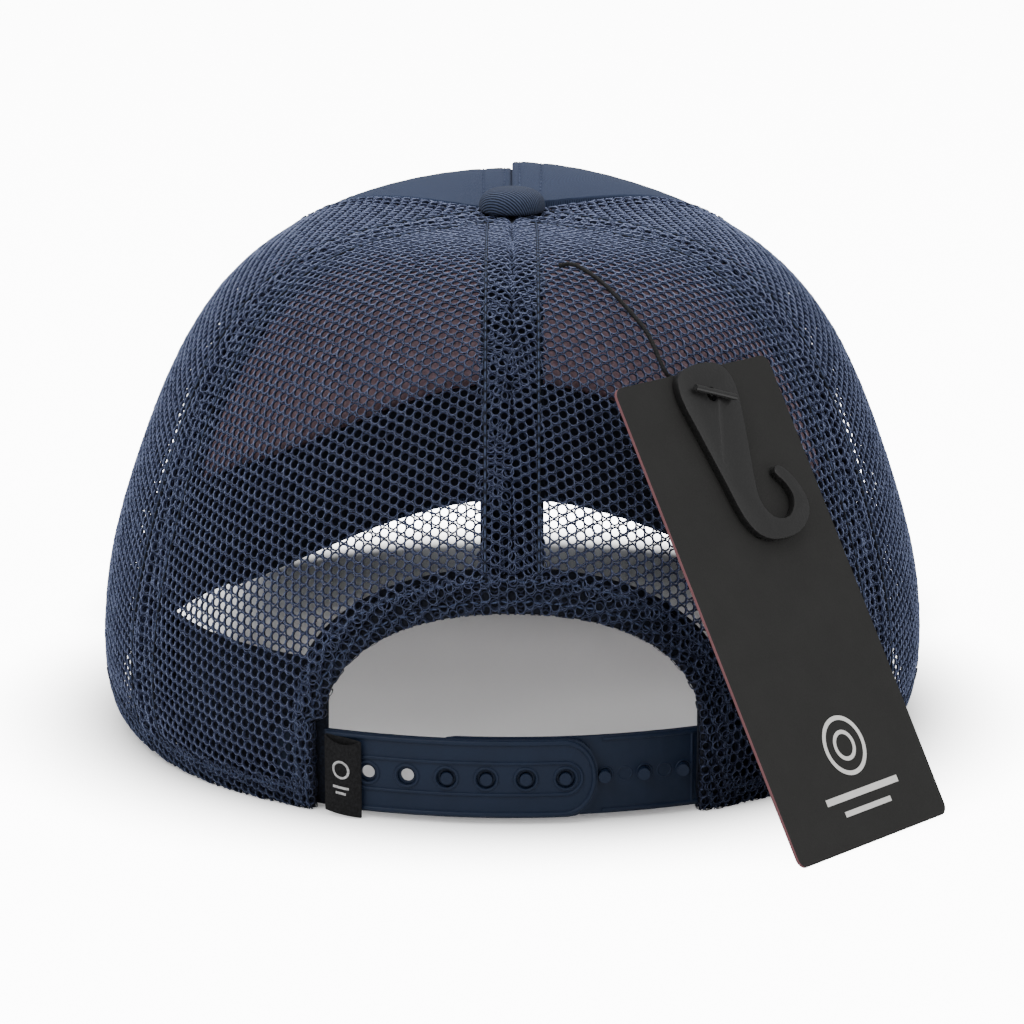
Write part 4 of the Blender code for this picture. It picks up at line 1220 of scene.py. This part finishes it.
def lip(name, x, offset, body, radius, wide, high, out):
    """Raised lip round a hole or a faint moulded mark."""
    a = np.linspace(0, 2 * np.pi, 44, endpoint=False)
    outline = np.stack([x + radius * np.cos(a), STRAP_MIDDLE + radius * np.sin(a)], -1)
    return raised_rib(name, outline, offset, out, wide, high, body)


def straps():
    """Rims, ribs, lips and steps laid on the two carried-over straps."""
    recolour(MATS["strap"], "snap_strap_holes", "snap_strap_pegs", "strap_tab_left",
             "strap_tab_right")
    face = STRAP_THICK / 2
    # holes: the outer strap, its rim, the slot-shaped rib and a lip and a step in each hole
    x = np.linspace(-40.2, TIP_LEFT - 7.6, 90)
    cap_a = np.linspace(np.pi / 2, -np.pi / 2, 34)
    cap = np.stack([TIP_LEFT - 7.6 + 6.9 * np.cos(cap_a) ** 0.9, STRAP_MIDDLE
                    + 8.05 * np.sin(cap_a)], -1)
    line = np.concatenate([np.stack([x, np.full_like(x, 18.45)], -1), cap,
                           np.stack([x[::-1], np.full_like(x, 2.35)], -1)])
    raised_rib("strap_rim_holes", line, -STRAP_GAP, face, 1.1, 0.5, "strap_with_holes",
               closed=False)
    slot_line = stadium(-31.4, 11.6, STRAP_MIDDLE, 3.55)
    raised_rib("strap_slot_rib", slot_line, -STRAP_GAP, face, 0.8, 0.38, "strap_with_holes")
    for k in range(-2, 4):
        x = PEG_FIRST + PITCH * k
        lip(f"hole_lip_{k + 3}", x, -STRAP_GAP, "strap_with_holes", 2.45, 0.7, 0.3, face)
        collar(f"hole_step_{k + 3}", x, -STRAP_GAP, "strap_with_holes")
    # pegs: rim, and faint round marks between the free pegs
    x = np.linspace(19.5, 40.4, 60)
    for k, z in enumerate((18.45, 2.35)):
        line = np.stack([x, np.full_like(x, z)], -1)
        raised_rib(f"strap_rim_pegs_{k}", line, STRAP_GAP, face, 0.9, 0.3, "strap_with_pegs",
                   closed=False)
    z = np.linspace(2.2, 18.6, 30)
    raised_rib("strap_end_rib", np.stack([np.full_like(z, 39.2), z], -1), STRAP_GAP, face, 0.7,
               0.25,
               "strap_with_pegs", closed=False)
    for k, x in enumerate((PEG_FIRST + PITCH * 4.5, PEG_FIRST + PITCH * 5.5)):
        lip(f"strap_mark_{k}", x, STRAP_GAP, "strap_with_pegs", 1.5, 0.4, 0.08, face)
    for k in range(4, 7):
        lip(f"peg_foot_{k}", PEG_FIRST + PITCH * k, STRAP_GAP, "strap_with_pegs", 1.62, 0.5, 0.2,
            face)


straps()


# ---------------------------------------------------------------- woven label


LABEL_ROOT = np.array([-41.0, -85.5])
LABEL_SLOPE = 0.12  # the free end hangs a little
LABEL_START, LABEL_LONG = -0.2, 7.9
LABEL_ALONG = np.array([1.0, -0.4264]) / math.hypot(1.0, 0.4264)
LABEL_OUT = np.array([LABEL_ALONG[1], -LABEL_ALONG[0]])
LABEL_ORIGIN = LABEL_ROOT + 1.1 * LABEL_ALONG + 1.4 * LABEL_OUT


def label_bulge(s):
    """Swell of the label's front over the share of its length."""
    return 0.75 * np.sin(np.pi * np.clip(s, 0, 1)) ** 0.8


def label_path():
    """Plan of the folded label: out along the front, round the fold and back again."""
    s = np.linspace(0, 1, 46)
    front_x = LABEL_START + (LABEL_LONG - LABEL_START) * s
    bulge = label_bulge(s)
    front = np.stack([front_x, 0.22 + bulge], -1)
    a = np.linspace(np.pi / 2, -np.pi / 2, 11)[1:-1]
    fold = np.stack([LABEL_LONG + 0.32 * np.cos(a), 0.22 * np.sin(a)], -1)
    back = np.stack([front_x[::-1], -0.22 - 0.35 * bulge[::-1]], -1)
    p = np.concatenate([front, fold, back])
    return LABEL_ORIGIN + p[:, :1] * LABEL_ALONG + p[:, 1:] * LABEL_OUT, p


def woven_label():
    """Closed ribbon carried up from the floor, with a fine woven rib, and its plain mark."""
    plan, flat = label_path()
    tangent = unit(np.gradient(plan, axis=0))
    normal = np.stack([tangent[:, 1], -tangent[:, 0]], -1)
    z = np.concatenate([[1.2, 1.25, 1.4], np.linspace(1.7, 18.0, 66), [18.3, 18.45, 18.5]])
    edge = np.minimum(1, np.sqrt(np.clip((np.minimum(z - 1.2, 18.5 - z)) / 0.15, 0.02, 1)))
    rib = 0.025 * np.sin(np.arange(len(z)) * np.pi)
    sag = np.zeros(len(plan))
    sag[:46] = 1.3 * np.sin(np.pi * np.linspace(0, 1, 46)) ** 0.7
    drop = LABEL_SLOPE * np.maximum(flat[:, :1], 0) + sag[:, None] * ((z[None] - 1.2) / 17.3) ** 7
    grids = []
    for sign in (1, -1):
        off = (0.16 * edge + rib)[None, :, None] * sign
        xy = plan[:, None] + off * normal[:, None]
        zz = np.broadcast_to(z[None] - drop, xy.shape[:2])
        grids.append(np.concatenate([xy, zz[..., None]], -1))
    piece = slab("label_ribbon", grids[0], grids[1], MATS["label"], "label_flap")
    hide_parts("woven_label")

    # plain mark: a ring over two short bars, laid on the front of the ribbon
    def on_label(a, b, lift):
        out = 0.22 + label_bulge((a + 0.2) / 8.1) + 0.16 + lift
        xy = LABEL_ORIGIN + np.asarray(a)[..., None] * LABEL_ALONG + out[..., None] * LABEL_OUT
        return np.concatenate([xy, (b - LABEL_SLOPE * a)[..., None]], -1)

    flat_mark("label_mark_ring", on_label, ring_strip(3.9, 11.4, 1.8, 0.5), MATS["mark"],
              "label_flap")
    for k, (b, half) in enumerate(((7.4, 1.9), (6.1, 1.2))):
        flat_mark(f"label_mark_bar_{k}", on_label, bar_strip(3.9, b, half, 0.55), MATS["mark"],
                  "label_flap")


def ring_strip(a, b, radius, wide):
    """Ring as a grid of flat places: round it by across it."""
    turn = np.linspace(0, 2 * np.pi, 61)
    r = radius + np.array([-0.5, 0.5]) * wide
    return np.stack([a + r * np.cos(turn)[:, None], b + r * np.sin(turn)[:, None]], -1)


def bar_strip(a, b, half, wide):
    """Straight bar as a grid of flat places."""
    x = np.linspace(-half, half, 9)[:, None] + np.zeros(2)
    y = np.zeros(9)[:, None] + np.array([-0.5, 0.5]) * wide
    return np.stack([a + x, b + y], -1)


def flat_mark(name, place, grid, mat, body, thick=0.05):
    """Thin print lying on a face."""
    a, b = grid[..., 0], grid[..., 1]
    top = place(a, b, np.full_like(a, thick))
    low = place(a, b, np.full_like(a, -0.02))
    piece = slab(name, top, low, mat, body, sharp=30)


woven_label()


# ---------------------------------------------------------------- hang tag


TAG_ROUND = 2.2


def tag_outline(spacing=1.5):
    """Rounded rectangle of the tag, as points (a, b) all round."""
    r = TAG_ROUND
    out = []
    for cx, cy, start in ((TAG_W - r, TAG_H - r, 0), (r, TAG_H - r, 90), (r, r, 180),
                          (TAG_W - r, r, 270)):
        turn = np.radians(np.linspace(start, start + 90, 13))
        out.append(np.stack([cx + r * np.cos(turn), cy + r * np.sin(turn)], -1))
    corners = np.concatenate(out)
    result = []
    for k in range(len(corners)):
        p, q = corners[k], corners[(k + 1) % len(corners)]
        n = max(1, int(np.linalg.norm(q - p) / spacing))
        result.append(p + (q - p) * np.arange(n)[:, None] / n)
    return np.concatenate(result)


def hang_tag():
    """Card with rounded corners and a round hole: rings of points from the hole to the rim,
    over the rim and back along the other face.  The rim is coloured apart."""
    hole = np.array(TAG_HOLE)
    full = tag_outline()
    count = len(full)
    toward = unit(full - hole)
    rings = []
    for share, depth, inset in ((0.0, -0.25, 0), (0.0, 0.0, 0), (0.05, 0.0, 0), (0.3, 0.0, 0),
                                (0.7, 0.0, 0),
                                (1.0, 0.0, 0.12), (1.0, -0.10, 0.0), (1.0, -TAG_THICK + 0.10, 0.0),
                                (1.0, -TAG_THICK, 0.12), (0.7, -TAG_THICK, 0),
                                (0.3, -TAG_THICK, 0),
                                (0.05, -TAG_THICK, 0), (0.0, -TAG_THICK, 0),
                                (0.0, -TAG_THICK + 0.25, 0)):
        start = hole + 1.8 * toward
        flat = start + (full - start) * share - toward * inset
        rings.append(on_tag(flat[:, 0], flat[:, 1], np.full(count, depth)))
    points = np.stack(rings)
    faces = ring_faces(len(rings), count, closed=True)
    faces = oriented(points.reshape(-1, 3), faces)
    piece = put("tag_card", points, faces, MATS["card"], "tag", sharp=30)
    piece.data.materials.append(MATS["edge"])
    row = np.repeat(np.arange(len(rings)), count)
    piece.data.polygons.foreach_set("material_index", (row == 6).astype(np.int32))
    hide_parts("hang_tag")
    # plain mark: two rings, one inside the other, over two bars
    flat_mark("tag_mark_ring", on_tag, ring_strip(27.5, 21.5, 6.2, 1.0), MATS["ink"], "tag")
    flat_mark("tag_mark_inner", on_tag, ring_strip(27.5, 21.5, 3.0, 0.9), MATS["ink"], "tag")
    for k, (b, half, wide) in enumerate(((11.0, 12.5, 1.5), (7.4, 8.0, 1.2))):
        flat_mark(f"tag_mark_bar_{k}", on_tag, bar_strip(27.5, b, half, wide), MATS["ink"], "tag")


hang_tag()


# ---------------------------------------------------------------- carried-over pieces

recolour(MATS["hook"], "tag_hook", "string_toggle")
soften("tag_hook", 0.42)
recolour(MATS["backing"], "front_backing_left", "front_backing_right")
recolour(MATS["tape"], "seam_tape_front", "seam_tape_side_left", "seam_tape_side_right",
         "seam_tape_rear_left", "seam_tape_rear_right", "seam_tape_back")
recolour(MATS["band"], "sweatband")
recolour(MATS["board"], "brim_board")
recolour(MATS["steel"], "button_washer", "button_stud")
